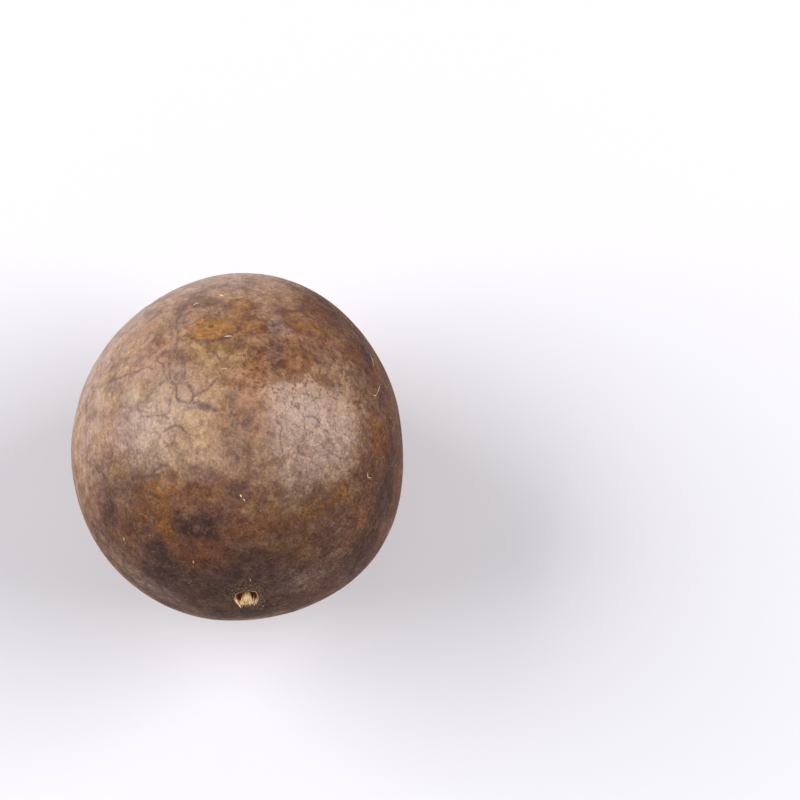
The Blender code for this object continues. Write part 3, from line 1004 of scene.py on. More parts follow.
class Wiring:
    """Adds and joins the nodes of one material."""

    def __init__(self, name: str) -> None:
        """Starts a material with a Principled shader.

        Args:
            name: The material's name.
        """
        self.material = bpy.data.materials.new(name)
        self.material.use_nodes = True
        self.tree = self.material.node_tree
        self.shader = self.tree.nodes["Principled BSDF"]
        self.places: dict[tuple[float, float], Socket] = {}

    def link(self, source: Socket | float | Colour, target: Socket) -> None:
        """Joins a socket to another, or sets a plain value on it.

        Args:
            source: The socket or the value that goes in.
            target: The socket that takes it.
        """
        if isinstance(source, bpy.types.NodeSocket):
            self.tree.links.new(source, target)
        else:
            target.default_value = source

    def millimetres(self, rise: float = 0.0, stretch: float = 1.0) -> Socket:
        """Places on the piece in millimetres, drawn out along the fruit's axis if wanted.

        Args:
            rise: The angle of the axis, as a turn about X.
            stretch: How much longer things are along the axis.

        Returns:
            The places as a vector socket.
        """
        key = (rise, stretch)
        if key not in self.places:
            where = self.tree.nodes.new("ShaderNodeTexCoord")
            turned = self.tree.nodes.new("ShaderNodeVectorRotate")
            turned.rotation_type = "X_AXIS"
            turned.inputs["Angle"].default_value = rise
            scaled = self.tree.nodes.new("ShaderNodeVectorMath")
            scaled.operation = "MULTIPLY"
            scaled.inputs[1].default_value = (1.0 / MM, 1.0 / MM / stretch, 1.0 / MM)
            self.link(where.outputs["Object"], turned.inputs["Vector"])
            self.link(turned.outputs["Vector"], scaled.inputs[0])
            self.places[key] = scaled.outputs[0]
        return self.places[key]

    def noise(
        self,
        size: float,
        detail: float = 2.0,
        rough: float = 0.5,
        warp: float = 0.0,
        where: Socket | None = None,
        seed: float = 0.0,
    ) -> Socket:
        """Noise from 0 to 1.

        Args:
            size: The size of its swells, in millimetres.
            detail: How many finer layers it has.
            rough: How strong the finer layers are.
            warp: How much it is distorted.
            where: The places that it is worked out for, if not the plain ones.
            seed: Another value gives another draw.

        Returns:
            The noise as a value socket.
        """
        node = self.tree.nodes.new("ShaderNodeTexNoise")
        node.noise_dimensions = "4D"
        self.link(where or self.millimetres(), node.inputs["Vector"])
        node.inputs["W"].default_value = seed
        node.inputs["Scale"].default_value = 1.0 / size
        node.inputs["Detail"].default_value = detail
        node.inputs["Roughness"].default_value = rough
        node.inputs["Distortion"].default_value = warp
        return node.outputs["Fac"]

    def cracks(self, size: float, wander: float) -> Socket:
        """The distance from the edges of irregular cells, as a share of their size.

        Args:
            size: The cells' size, in millimetres.
            wander: How far the edges wander, in millimetres.

        Returns:
            The distance as a value socket.
        """
        shift = self.tree.nodes.new("ShaderNodeTexNoise")
        self.link(self.millimetres(), shift.inputs["Vector"])
        shift.inputs["Scale"].default_value = 1.0 / size
        shift.inputs["Detail"].default_value = 3.0
        moved = self.tree.nodes.new("ShaderNodeVectorMath")
        moved.operation = "MULTIPLY_ADD"
        self.link(shift.outputs["Color"], moved.inputs[0])
        moved.inputs[1].default_value = (wander, wander, wander)
        self.link(self.millimetres(), moved.inputs[2])
        cells = self.tree.nodes.new("ShaderNodeTexVoronoi")
        cells.feature = "DISTANCE_TO_EDGE"
        cells.inputs["Scale"].default_value = 1.0 / size
        self.link(moved.outputs[0], cells.inputs["Vector"])
        return cells.outputs["Distance"]

    def attribute(self, name: str) -> Socket:
        """A value that the mesh stores for each vertex.

        Args:
            name: The attribute's name.

        Returns:
            The value as a socket.
        """
        node = self.tree.nodes.new("ShaderNodeAttribute")
        node.attribute_name = name
        return node.outputs["Fac"]

    def stain(self, stain: Stain) -> Socket:
        """How much of a stain there is."""
        return self.attribute(stain.value)

    def spread(
        self, value: Socket, low: float, high: float, least: float = 0.0, most: float = 1.0
    ) -> Socket:
        """Turns a value that runs from low to high into one that eases from least to most.

        Args:
            value: The value to turn.
            low: Where it starts.
            high: Where it ends.
            least: What low becomes.
            most: What high becomes.

        Returns:
            The new value.
        """
        node = self.tree.nodes.new("ShaderNodeMapRange")
        node.interpolation_type = "SMOOTHSTEP"
        self.link(value, node.inputs["Value"])
        for socket, number in (("From Min", low), ("From Max", high), ("To Min", least), ("To Max", most)):
            node.inputs[socket].default_value = number
        return node.outputs["Result"]

    def maths(self, operation: str, *values: Socket | float) -> Socket:
        """One step of arithmetic.

        Args:
            operation: Blender's name for it.
            values: What it works on.

        Returns:
            The result.
        """
        node = self.tree.nodes.new("ShaderNodeMath")
        node.operation = operation
        for value, socket in zip(values, node.inputs):
            self.link(value, socket)
        return node.outputs["Value"]

    def frayed(self, value: Socket, ragged: Socket, strength: float) -> Socket:
        """A value that a noise moves up and down.

        Args:
            value: The value.
            ragged: The noise, from 0 to 1.
            strength: How far it moves the value in all.

        Returns:
            The uneven value.
        """
        return self.maths("MULTIPLY_ADD", self.maths("SUBTRACT", ragged, 0.5), strength, value)

    def mix(
        self,
        share: Socket | float,
        first: Socket | Colour,
        second: Socket | Colour,
        how: str = "MIX",
    ) -> Socket:
        """Mixes two colours.

        Args:
            share: How much of the second there is.
            first: The colour below.
            second: The colour on top.
            how: Blender's name for the kind of mix.

        Returns:
            The mixed colour.
        """
        node = self.tree.nodes.new("ShaderNodeMix")
        node.data_type = "RGBA"
        node.blend_type = how
        self.link(share, node.inputs["Factor"])
        self.link(first, node.inputs["A"])
        self.link(second, node.inputs["B"])
        return node.outputs["Result"]

    def bump(self, height: Socket, strength: float = 1.0) -> None:
        """Gives the shader a fine relief.

        Args:
            height: Heights in millimetres.
            strength: How strongly they show.
        """
        node = self.tree.nodes.new("ShaderNodeBump")
        node.inputs["Strength"].default_value = strength
        node.inputs["Distance"].default_value = MM
        self.link(height, node.inputs["Height"])
        self.link(node.outputs["Normal"], self.shader.inputs["Normal"])


@dataclass(frozen=True)
class RindFinish:
    """The dry rind: waxy tan skin with stains, veins, freckles, fine cracks and pores, with painted shade
    and highlights.
    """

    name: str = "dry_rind"
    tan: Colour = paint(183, 147, 115)
    rosy_tan: Colour = paint(174, 132, 106)
    umber: Colour = paint(112, 66, 36)
    # The tint that paints shade on the lower half and the right limb.
    painted_shade: Colour = (0.26, 0.185, 0.150, 1.0)
    # Tints that darken the skin in clouds, with each cloud's size in millimetres, draw and depth.
    clouds: tuple[tuple[Colour, float, float, float], ...] = (
        ((0.80, 0.74, 0.44, 1.0), 3.8, 6.0, 0.75),
        ((0.50, 0.47, 0.56, 1.0), 4.6, 9.0, 0.70),
        ((0.46, 0.33, 0.24, 1.0), 3.0, 12.0, 0.72),
        ((0.30, 0.22, 0.19, 1.0), 1.7, 15.0, 0.50),
    )
    # Stain colours: worn skin and bloom also paint highlights, soot also paints shade, and plum also paints
    # shade along the right limb.
    stains: tuple[tuple[Stain, Colour, float], ...] = (
        (Stain.WORN_AND_HIGHLIGHT, paint(200, 166, 138), 0.70),
        (Stain.OLIVE, paint(140, 112, 40), 0.66),
        (Stain.RUST, paint(134, 78, 38), 0.78),
        (Stain.PLUM, paint(72, 48, 54), 0.72),
        (Stain.SOOT_AND_SHADE, paint(40, 34, 34), 0.74),
        (Stain.BLOOM, paint(190, 168, 162), 0.60),
        (Stain.OCHRE, paint(170, 112, 40), 0.90),
    )
    vein: Colour = paint(98, 71, 68)
    freckle: Colour = paint(86, 46, 28)
    streak: Colour = paint(94, 68, 70)
    crack: Colour = paint(56, 40, 34)
    fleck: Colour = paint(226, 218, 214)
    fine_dark: Colour = paint(30, 28, 32)
    fine_light: Colour = paint(255, 255, 250)
    round_scar: Colour = paint(58, 42, 36)
    scar_speck: Colour = paint(152, 116, 88)
    rim: Colour = paint(222, 186, 160)
    pit: Colour = paint(124, 72, 44)
    eye_ring: Colour = paint(120, 92, 40)
    eye: Colour = paint(86, 58, 32)
    # Thin wandering lines: how far apart in millimetres, draw and width.
    capillary_nets: tuple[tuple[float, float, float], ...] = ((5.2, 33.0, 0.012), (3.1, 35.0, 0.014))
    # Fine relief: size in millimetres, height in millimetres, draw, and whether it follows the fibres.
    ripples: tuple[tuple[float, float, float, bool], ...] = (
        (0.62, 0.030, 5.0, False),
        (0.5, 0.024, 44.0, True),
        (1.6, 0.060, 47.0, False),
    )
    roughness: float = 0.38
    ior: float = 1.42

    def build(self, rise: float) -> bpy.types.Material:
        """Wires the material.

        Args:
            rise: The angle of the fruit's axis, which the skin's fibres follow.

        Returns:
            The material.
        """
        w = Wiring(self.name)
        fibres = w.millimetres(rise, 3.0)
        ragged = w.noise(1.5, 4.0, 0.62, 0.6, seed=3.0)
        veins = w.maths("MAXIMUM", self.vein_lines(w), self.capillaries(w))
        crack = self.crack_lines(w)
        rosy = w.spread(w.noise(9.0, 3.0, 0.55, 0.4, seed=1.0), 0.38, 0.62)
        colour = self.with_painted_shade(w, w.mix(rosy, self.tan, self.rosy_tan))
        colour = self.mottled(w, self.stained(w, colour, ragged))
        colour = w.mix(veins, colour, self.vein)
        colour = self.speckled(w, colour, fibres)
        colour = w.mix(w.maths("MULTIPLY", crack, 0.50), colour, self.crack)
        colour = self.scarred(w, colour, ragged)
        w.link(colour, w.shader.inputs["Base Color"])
        self.surface(w, ragged, fibres, w.maths("MAXIMUM", crack, w.maths("MULTIPLY", veins, 0.5)))
        return w.material

    def mottled(self, w: Wiring, colour: Socket) -> Socket:
        """Lays olive, taupe and umber clouds over the skin, which run into each other.

        Args:
            w: The material's wiring.
            colour: The colour so far.

        Returns:
            The mottled colour.
        """
        # Fewer clouds where the skin is worn or a highlight is painted.
        clear = w.spread(w.stain(Stain.WORN_AND_HIGHLIGHT), 0.0, 1.0, 1.0, 0.25)
        for tint, size, seed, most in self.clouds:
            cloud = w.spread(w.noise(size, 4.0, 0.62, 0.8, seed=seed), 0.44, 0.70, 0.0, most)
            colour = w.mix(w.maths("MULTIPLY", cloud, clear), colour, tint, "MULTIPLY")
        return colour

    def with_painted_shade(self, w: Wiring, colour: Socket) -> Socket:
        """Paints shade on the lower half and the right limb, with a cloudy edge.

        Args:
            w: The material's wiring.
            colour: The colour so far.

        Returns:
            The colour with its painted shade.
        """
        painted_shade = w.frayed(w.stain(Stain.PAINTED_SHADE), w.noise(4.2, 4.0, 0.6, 0.6, seed=17.0), 0.9)
        return w.mix(w.spread(painted_shade, 0.0, 1.1), colour, self.painted_shade, "MULTIPLY")

    def stained(self, w: Wiring, colour: Socket, ragged: Socket) -> Socket:
        """Lays the stains over the skin, each with broken edges and an uneven inside.

        Args:
            w: The material's wiring.
            colour: The colour of the skin.
            ragged: The noise that breaks the edges.

        Returns:
            The stained colour.
        """
        for number, (stain, tint, most) in enumerate(self.stains):
            amount = w.stain(stain)
            broken = w.frayed(amount, ragged, 1.1)
            uneven = w.spread(w.noise(1.1, 4.0, 0.7, seed=60.0 + number), 0.34, 0.62, 0.40 * most, most)
            share = w.maths("MULTIPLY", w.spread(broken, 0.08, 0.95), w.spread(amount, 0.02, 0.25))
            colour = w.mix(w.maths("MULTIPLY", share, uneven), colour, tint)
        ochre = w.frayed(w.stain(Stain.OCHRE), ragged, 0.4)
        edge = w.maths("MULTIPLY", w.spread(ochre, 0.16, 0.34), w.spread(ochre, 0.62, 0.42))
        return w.mix(w.maths("MULTIPLY", edge, 0.55), colour, self.umber)

    def speckled(self, w: Wiring, colour: Socket, fibres: Socket) -> Socket:
        """Freckles, dark streaks along the fibres, pale flecks and fine grain.

        Args:
            w: The material's wiring.
            colour: The colour so far.
            fibres: Places drawn out along the axis.

        Returns:
            The colour with its grain.
        """
        clean = w.spread(w.stain(Stain.OCHRE), 0.9, 0.4, 0.60, 1.0)
        dots = w.spread(w.noise(0.74, 3.0, 0.62, 0.4, seed=21.0), 0.50, 0.66)
        amount = w.maths("MULTIPLY_ADD", w.stain(Stain.FRECKLE), 0.80, 0.12)
        colour = w.mix(w.maths("MULTIPLY", dots, w.maths("MULTIPLY", amount, clean)), colour, self.freckle)
        streaks = w.spread(w.noise(0.72, 3.0, 0.60, 0.3, where=fibres, seed=2.0), 0.48, 0.68, 0.0, 0.36)
        colour = w.mix(w.maths("MULTIPLY", streaks, clean), colour, self.streak)
        flecks = w.spread(w.noise(0.80, 3.0, 0.6, seed=24.0), 0.50, 0.70, 0.0, 0.60)
        colour = w.mix(flecks, colour, self.fleck, "SOFT_LIGHT")
        fine = w.noise(0.42, 3.0, 0.65, seed=5.0)
        colour = w.mix(0.60, colour, w.mix(fine, self.fine_dark, self.fine_light), "SOFT_LIGHT")
        grit = w.spread(w.noise(0.46, 3.0, 0.60, seed=81.0), 0.36, 0.64, 0.66, 1.30)
        # The grit is stronger where shade is painted.
        share = w.maths("MULTIPLY_ADD", w.stain(Stain.PAINTED_SHADE), 0.70, 0.22)
        return w.mix(share, colour, grit, "MULTIPLY")

    def vein_lines(self, w: Wiring) -> Socket:
        """The drawn veins and cracks, from the signed distances that the mesh holds.

        Args:
            w: The material's wiring.

        Returns:
            How strongly they show.
        """
        waver = w.maths("MULTIPLY", w.maths("SUBTRACT", w.noise(1.1, 3.0, 0.6, seed=51.0), 0.5), 3.2)
        thick = w.spread(w.noise(2.0, 2.0, seed=53.0), 0.3, 0.7, 0.6, 1.5)
        worn = w.spread(w.noise(0.9, 3.0, 0.6, seed=55.0), 0.36, 0.54, 0.52, 1.0)
        shown: Socket | float = 0.0
        for number in range(LineLayers.COUNT):
            offset = w.maths("ABSOLUTE", w.maths("ADD", w.attribute(f"line_offset_{number}"), waver))
            ratio = w.maths("DIVIDE", offset, thick)
            line = w.maths("MAXIMUM", w.spread(ratio, 2.20, 0.60, 0.0, 0.58), w.spread(ratio, 1.05, 0.25))
            line = w.maths("MULTIPLY", line, w.attribute(f"line_strength_{number}"))
            shown = w.maths("MAXIMUM", shown, line)
        return w.maths("MULTIPLY", shown, worn)

    def capillaries(self, w: Wiring) -> Socket:
        """Thin wandering lines that show here and there all over the skin.

        Args:
            w: The material's wiring.

        Returns:
            How strongly they show.
        """
        shown: Socket | float = 0.0
        for size, seed, width in self.capillary_nets:
            ridge = w.maths("ABSOLUTE", w.maths("SUBTRACT", w.noise(size, 3.0, 0.5, 0.5, seed=seed), 0.5))
            seen = w.spread(w.noise(size * 1.3, 2.0, seed=seed + 1.0), 0.50, 0.62, 0.0, 0.6)
            shown = w.maths("MAXIMUM", shown, w.maths("MULTIPLY", w.spread(ridge, width, 0.0), seen))
        return shown

    def crack_lines(self, w: Wiring) -> Socket:
        """Hair cracks, where the skin is crackled and round the stem scar.

        Args:
            w: The material's wiring.

        Returns:
            How strongly they show.
        """
        line = w.spread(w.cracks(2.1, 3.2), 0.0, 0.05, 1.0, 0.0)
        broken = w.spread(w.noise(1.8, 2.0, seed=31.0), 0.44, 0.62)
        large = w.maths("MULTIPLY", w.maths("MULTIPLY", line, broken), w.stain(Stain.CRACKLE))
        round_scar = w.spread(w.attribute("reach"), 6.4, 3.4)
        small = w.spread(w.cracks(0.9, 1.2), 0.0, 0.13, 1.0, 0.0)
        return w.maths("MAXIMUM", large, w.maths("MULTIPLY", small, round_scar))

    def scarred(self, w: Wiring, colour: Socket, ragged: Socket) -> Socket:
        """The stem scar's dark surroundings, pale rim and brown pit, and the eye of the callus.

        Args:
            w: The material's wiring.
            colour: The colour so far.
            ragged: The noise that frays the edges.

        Returns:
            The colour with the scars.
        """
        reach = w.frayed(w.attribute("reach"), ragged, 0.5)
        colour = w.mix(w.spread(reach, 7.0, 3.2, 0.0, 0.42), colour, self.round_scar)
        specks = w.spread(w.noise(0.42, 2.0, 0.7, seed=71.0), 0.50, 0.57)
        specks = w.maths("MULTIPLY", specks, w.spread(reach, 7.0, 3.6, 0.0, 0.55))
        colour = w.mix(specks, colour, self.scar_speck)
        rim = w.maths("MULTIPLY", w.spread(reach, 2.78, 2.56), w.spread(reach, 2.16, 2.30))
        colour = w.mix(w.maths("MULTIPLY", rim, 0.95), colour, self.rim)
        colour = w.mix(w.spread(reach, 2.26, 2.06), colour, self.pit)
        eye = w.frayed(w.attribute("eye"), ragged, 0.6)
        ring = w.maths("MULTIPLY", w.spread(eye, 2.3, 1.5), w.spread(eye, 0.5, 1.1))
        colour = w.mix(w.maths("MULTIPLY", ring, 0.30), colour, self.eye_ring)
        return w.mix(w.spread(eye, 0.85, 0.25, 0.0, 0.80), colour, self.eye)

    def surface(self, w: Wiring, ragged: Socket, fibres: Socket, crack: Socket) -> None:
        """Sets the gloss and the fine relief.

        Args:
            w: The material's wiring.
            ragged: The noise of the stains' edges.
            fibres: Places drawn out along the axis.
            crack: Where cracks and veins are.
        """
        shader = w.shader.inputs
        rough = w.spread(ragged, 0.30, 0.70, self.roughness - 0.06, self.roughness + 0.10)
        rough = w.maths("MULTIPLY_ADD", w.stain(Stain.OCHRE), -0.08, rough)
        # Where shade is painted the skin is rougher too.
        rough = w.maths("MULTIPLY_ADD", w.stain(Stain.PAINTED_SHADE), 0.55, rough)
        rough = w.maths("MULTIPLY_ADD", w.spread(w.attribute("reach"), 2.6, 2.2), 0.35, rough)
        w.link(rough, shader["Roughness"])
        shader["IOR"].default_value = self.ior
        skin = w.spread(w.noise(0.30, 1.0, seed=41.0), 0.60, 0.74, 0.0, -0.020)
        for size, height, seed, drawn_out in self.ripples:
            ripple = w.noise(size, 3.0, 0.6, where=fibres if drawn_out else None, seed=seed)
            skin = w.maths("MULTIPLY_ADD", ripple, height, skin)
        w.bump(w.maths("MULTIPLY_ADD", crack, -0.05, skin))


@dataclass(frozen=True)
class FibreFinish:
    """Torn plant fibre: pale straw, darker at its root, with fine lengthwise streaks."""

    name: str
    straw: Colour = paint(246, 200, 134)
    tips: Colour = paint(255, 240, 198)
    root: Colour = paint(150, 92, 52)
    streak: Colour = paint(180, 132, 80)
    roughness: float = 0.62

    def build(self, rise: float) -> bpy.types.Material:
        """Wires the material.

        Args:
            rise: The angle of the fruit's axis, which the fibres follow.

        Returns:
            The material.
        """
        w = Wiring(self.name)
        streaks = w.noise(0.16, 3.0, 0.6, 0.2, where=w.millimetres(rise, 6.0), seed=4.0)
        colour = w.mix(w.spread(w.attribute("tone"), 0.0, 1.0), self.straw, self.tips)
        colour = w.mix(w.spread(streaks, 0.46, 0.70, 0.0, 0.50), colour, self.streak)
        colour = w.mix(w.spread(w.attribute("along"), 0.05, 0.32, 0.80, 0.0), colour, self.root)
        w.link(colour, w.shader.inputs["Base Color"])
        rough = w.spread(streaks, 0.3, 0.7, self.roughness - 0.1, self.roughness + 0.1)
        w.link(rough, w.shader.inputs["Roughness"])
        w.bump(w.maths("MULTIPLY", streaks, 0.05))
        return w.material


TORN_FIBRE = FibreFinish("torn_fibre")
LOOSE_FIBRE = FibreFinish("loose_fibre", straw=paint(186, 152, 120), root=paint(214, 188, 166))
SKIN_DOWN = FibreFinish("skin_down", straw=paint(196, 168, 130), root=paint(160, 128, 92))


@dataclass
class Rind:
    """The whole skin of the fruit as one fine mesh, denser round the stem scar."""

    form: FruitForm
    view: PhotoView
    finish: RindFinish = field(default_factory=RindFinish)
    grain: Grain = field(default_factory=lambda: Grain(11))
    name: str = "fruit_rind"
    # The lattice: cells along a side, how strongly and within which angle they gather at the stem,
    # and the empty edge of each chart of its map.
    cells: int = 128
    gather_share: float = 0.70
    gather_width: float = 0.16
    map_margin: float = 0.01
    # Relief of the skin, in millimetres.
    inside_solid: float = 0.04
    unevenness: float = 0.085
    peel: float = 0.012
    plum_depth: float = 0.04
    soot_and_shade_depth: float = 0.05
    callus_height: float = 0.05
    eye_depth: float = 0.18
    eye_radius: float = 0.52
    # The wrinkles round the stem scar: how high, how far apart, how far from the axis and how wide.
    wrinkle_height: float = 0.045
    wrinkle_pitch: float = 0.62
    wrinkle_reach: float = 4.0
    wrinkle_spread: float = 1.3
    # The scar's rim: narrower across by a share, uneven by a share, worn and rough in millimetres.
    scar_squeeze: float = 0.26
    scar_unevenness: float = 0.07
    rim_reach: float = 2.55
    rim_spread: float = 0.35
    rim_roughness: float = 0.12
    rim_wear: float = 0.05
    # How far the noise frays a patch's edge, and how soft that edge is where it isn't a cloud's.
    coarse_fray: float = 0.30
    fine_fray: float = 0.20
    edge: float = 0.55
    clouds: tuple[Stain, ...] = (Stain.PAINTED_SHADE, Stain.BLOOM, Stain.WORN_AND_HIGHLIGHT)
    # Distances from the scar and the eye, in millimetres: the furthest that the finish is told, and
    # the one that stands for no scar at all.
    scar_end: float = 12.0
    eye_end: float = 6.0
    no_scar: float = 99.0

    def lattice(self) -> tuple[Points, Points, Points]:
        """A cube's surface cut into cells.

        Returns:
            Its points as whole numbers from 0 to cells, its faces, and a map place for each corner.
        """
        steps = np.arange(self.cells + 1)
        first, second = np.meshgrid(steps, steps, indexing="ij")
        share = self.map_margin + (1.0 - 2.0 * self.map_margin) * np.stack([first, second], -1) / self.cells
        corners, charts = [], []
        for chart, (axis, side) in enumerate(itertools.product(range(3), (0, self.cells))):
            grid = np.empty((self.cells + 1, self.cells + 1, 3), dtype=np.int64)
            grid[..., axis] = side
            grid[..., (axis + 1) % 3] = first if side else second
            grid[..., (axis + 2) % 3] = second if side else first
            place = (share + (chart % 3, chart // 3)) / (3, 2)
            for kept, table in ((grid, corners), (place, charts)):
                table.append(np.stack([kept[:-1, :-1], kept[1:, :-1], kept[1:, 1:], kept[:-1, 1:]], axis=2))
        flat = np.concatenate([part.reshape(-1, 3) for part in corners])
        points, index = np.unique(flat, axis=0, return_inverse=True)
        return points, index.reshape(-1, 4), np.concatenate([part.reshape(-1, 2) for part in charts])

    def angles(self, lattice: Points) -> tuple[Points, Points]:
        """Spreads the lattice evenly over all directions and gathers it towards the stem.

        Args:
            lattice: The lattice's points.

        Returns:
            Each point's angle from the stem and round the axis.
        """
        even = np.tan(math.pi / 4.0 * (2.0 * lattice / self.cells - 1.0))
        directions = unit(even)
        theta = np.arccos(np.clip(directions[:, 2], -1.0, 1.0))
        pull = self.gather_share * self.gather_width * np.tanh(theta / self.gather_width)
        return theta - pull * (1.0 - theta / math.pi), np.arctan2(directions[:, 1], directions[:, 0])

    def uneven_reach(self, theta: Points, phi: Points) -> Points:
        """The distance from the axis as the scars count it: they are narrower across, and uneven.

        Args:
            theta: Angles from the stem.
            phi: Angles round the axis.

        Returns:
            The distances, in millimetres.
        """
        circle = np.stack([np.cos(phi), np.sin(phi), np.zeros_like(phi)], axis=-1) * 2.0
        squeeze = self.scar_squeeze * np.cos(phi) ** 2 * (theta < math.pi / 2.0)
        uneven = self.scar_unevenness * self.grain.wave(circle, 0.9)
        return self.form.reach(theta) * (1.0 + squeeze + uneven)

    def scarred(self, theta: Points, phi: Points, reach: Points) -> Points:
        """The skin with both scars, a little uneven round their rims.

        Args:
            theta: Angles from the stem.
            phi: Angles round the axis.
            reach: Uneven distances from the axis.

        Returns:
            Points in the fruit's own axes.
        """
        points = self.form.skin(theta, phi)
        front, back = theta < math.pi / 2.0, theta > math.pi / 2.0
        stem, style = np.array(self.form.stem_scar), np.array(self.form.style_scar)
        points[front, 2] += np.interp(reach[front], stem[:, 0], stem[:, 1])
        points[back, 2] -= np.interp(reach[back], style[:, 0], style[:, 1])
        rim = np.exp(-(((reach - self.rim_reach) / self.rim_spread) ** 2)) * front
        points[:, 2] += rim * (self.rim_roughness * self.grain.wave(points + 40.0, 0.9) - self.rim_wear)
        return points

    def stained(self, places: Points, spots: Iterable[Spot]) -> dict[Stain, Points]:
        """How much of each stain there is at each place.

        Args:
            places: Points of the skin, in millimetres.
            spots: The patches.

        Returns:
            A value from 0 to 1 for each place and stain.
        """
        left = {stain: np.ones(len(places)) for stain in Stain}
        fray = self.coarse_fray * self.grain.cloud(places, 3.6)
        fray += self.fine_fray * self.grain.wave(places, 1.1)
        for spot in spots:
            offset = places - spot.middle
            first, second = offset @ spot.first / spot.half[0], offset @ spot.second / spot.half[1]
            deep = offset @ np.cross(spot.first, spot.second) / max(spot.half)
            away = np.sqrt(first**2 + second**2 + deep**2) + fray
            soft = 1.0 if spot.stain in self.clouds else self.edge
            left[spot.stain] *= 1.0 - spot.strength * eased(away, 1.0 + soft, 1.0 - soft)
        return {stain: 1.0 - share for stain, share in left.items()}

    def drawn_lines(self, sight: Sight) -> list[SkinLine]:
        """The veins and cracks that the photo shows, set on the skin.

        Args:
            sight: The camera's sight of the skin.

        Returns:
            The lines.
        """
        made = []
        for vein in VEINS:
            path = np.array([sight.place(pixel)[0] for pixel in vein.pixels])
            made.append(SkinLine(curve_through(path), vein.half_width, vein.strength))
        return made

    def relief(self, places: Points, reach: Points, stains: dict[Stain, Points], eye: Points) -> Points:
        """How far the skin stands out from the plain form; it never passes the solid's own faces.

        Args:
            places: Points of the skin, in millimetres.
            reach: Their distance from the axis at the stem end.
            stains: How much of each stain there is.
            eye: The distance from the callus's eye.

        Returns:
            A height for each place, in millimetres.
        """
        cloud, wave = self.grain.cloud, self.grain.wave
        uneven = self.unevenness * cloud(places, 9.5, 3) + self.peel * cloud(places, 1.3, 2)
        ring = np.sin(2.0 * math.pi * reach / self.wrinkle_pitch + 2.2 * wave(places, 2.2))
        belt = np.exp(-(((reach - self.wrinkle_reach) / self.wrinkle_spread) ** 2))
        wrinkles = self.wrinkle_height * ring * belt
        marks = -self.plum_depth * stains[Stain.PLUM] - self.soot_and_shade_depth * stains[Stain.SOOT_AND_SHADE]
        hollow = self.eye_depth * np.exp(-((eye / self.eye_radius) ** 2))
        callus = self.callus_height * stains[Stain.OCHRE] ** 2 - hollow
        height = uneven + wrinkles + marks + callus
        return height - height.max() - self.inside_solid

    def build(self) -> tuple[bpy.types.Object, Sight]:
        """Makes the rind.

        Returns:
            The piece, and the camera's sight of it.
        """
        lattice, faces, charts = self.lattice()
        theta, phi = self.angles(lattice)
        reach = self.uneven_reach(theta, phi)
        ground = self.form.to_ground(self.scarred(theta, phi, reach))
        piece = new_object(self.name, ground, faces)
        normals = self.normals(piece)
        sight = Sight(self.view, self.form, ground, faces)
        eye = np.linalg.norm(ground - np.array(sight.place(CALLUS_EYE)[0]), axis=1)
        drawn = [sight.spot(stain, Patch(*row)) for stain, rows in PATCHES.items() for row in rows]
        wild = WildMarks(sight, ground, normals)
        stains = self.stained(ground, drawn + wild.spots())
        layers = LineLayers(self.drawn_lines(sight) + wild.lines())
        fade = np.clip(0.95 + 0.30 * self.grain.wave(ground, 1.9), 0.6, 1.0)
        lines = layers.measure(ground, normals, fade)
        reach = np.where(theta < math.pi / 2.0, reach, self.no_scar)
        height = self.relief(ground, reach, stains, eye)
        ground = ground + normals * height[:, None]
        ground[:, 2] = np.maximum(ground[:, 2], 0.0)
        piece.data.vertices.foreach_set("co", (ground * MM).ravel())
        self.mark(piece, stains, lines, reach, eye)
        self.lay_map(piece, charts)
        piece.data.materials.append(self.finish.build(self.form.axis_rise))
        piece.data.update()
        return piece, Sight(self.view, self.form, ground, faces)

    def normals(self, piece: bpy.types.Object) -> Points:
        """The outward direction at each vertex of a piece.

        Args:
            piece: The mesh object.

        Returns:
            The directions.
        """
        made = np.empty(len(piece.data.vertices) * 3, dtype=np.float32)
        piece.data.vertex_normals.foreach_get("vector", made)
        return made.reshape(-1, 3).astype(float)

    def mark(
        self,
        piece: bpy.types.Object,
        stains: dict[Stain, Points],
        lines: list[tuple[Points, Points]],
        reach: Points,
        eye: Points,
    ) -> None:
        """Stores what the finish reads.

        Args:
            piece: The rind.
            stains: How much of each stain there is.
            lines: For each layer of lines the offsets and strengths.
            reach: The distance from the axis at the stem end.
            eye: The distance from the callus's eye.
        """
        for stain, amount in stains.items():
            add_attribute(piece, stain.value, amount)
        for number, (offset, strength) in enumerate(lines):
            add_attribute(piece, f"line_offset_{number}", offset)
            add_attribute(piece, f"line_strength_{number}", strength)
        add_attribute(piece, "reach", np.minimum(reach, self.scar_end))
        add_attribute(piece, "eye", np.minimum(eye, self.eye_end))

    def lay_map(self, piece: bpy.types.Object, charts: Points) -> None:
        """Gives the rind a map of six even charts for its textures."""
        layer = piece.data.uv_layers.new(name="OFBake")
        layer.data.foreach_set("uv", charts.ravel().astype(np.float32))


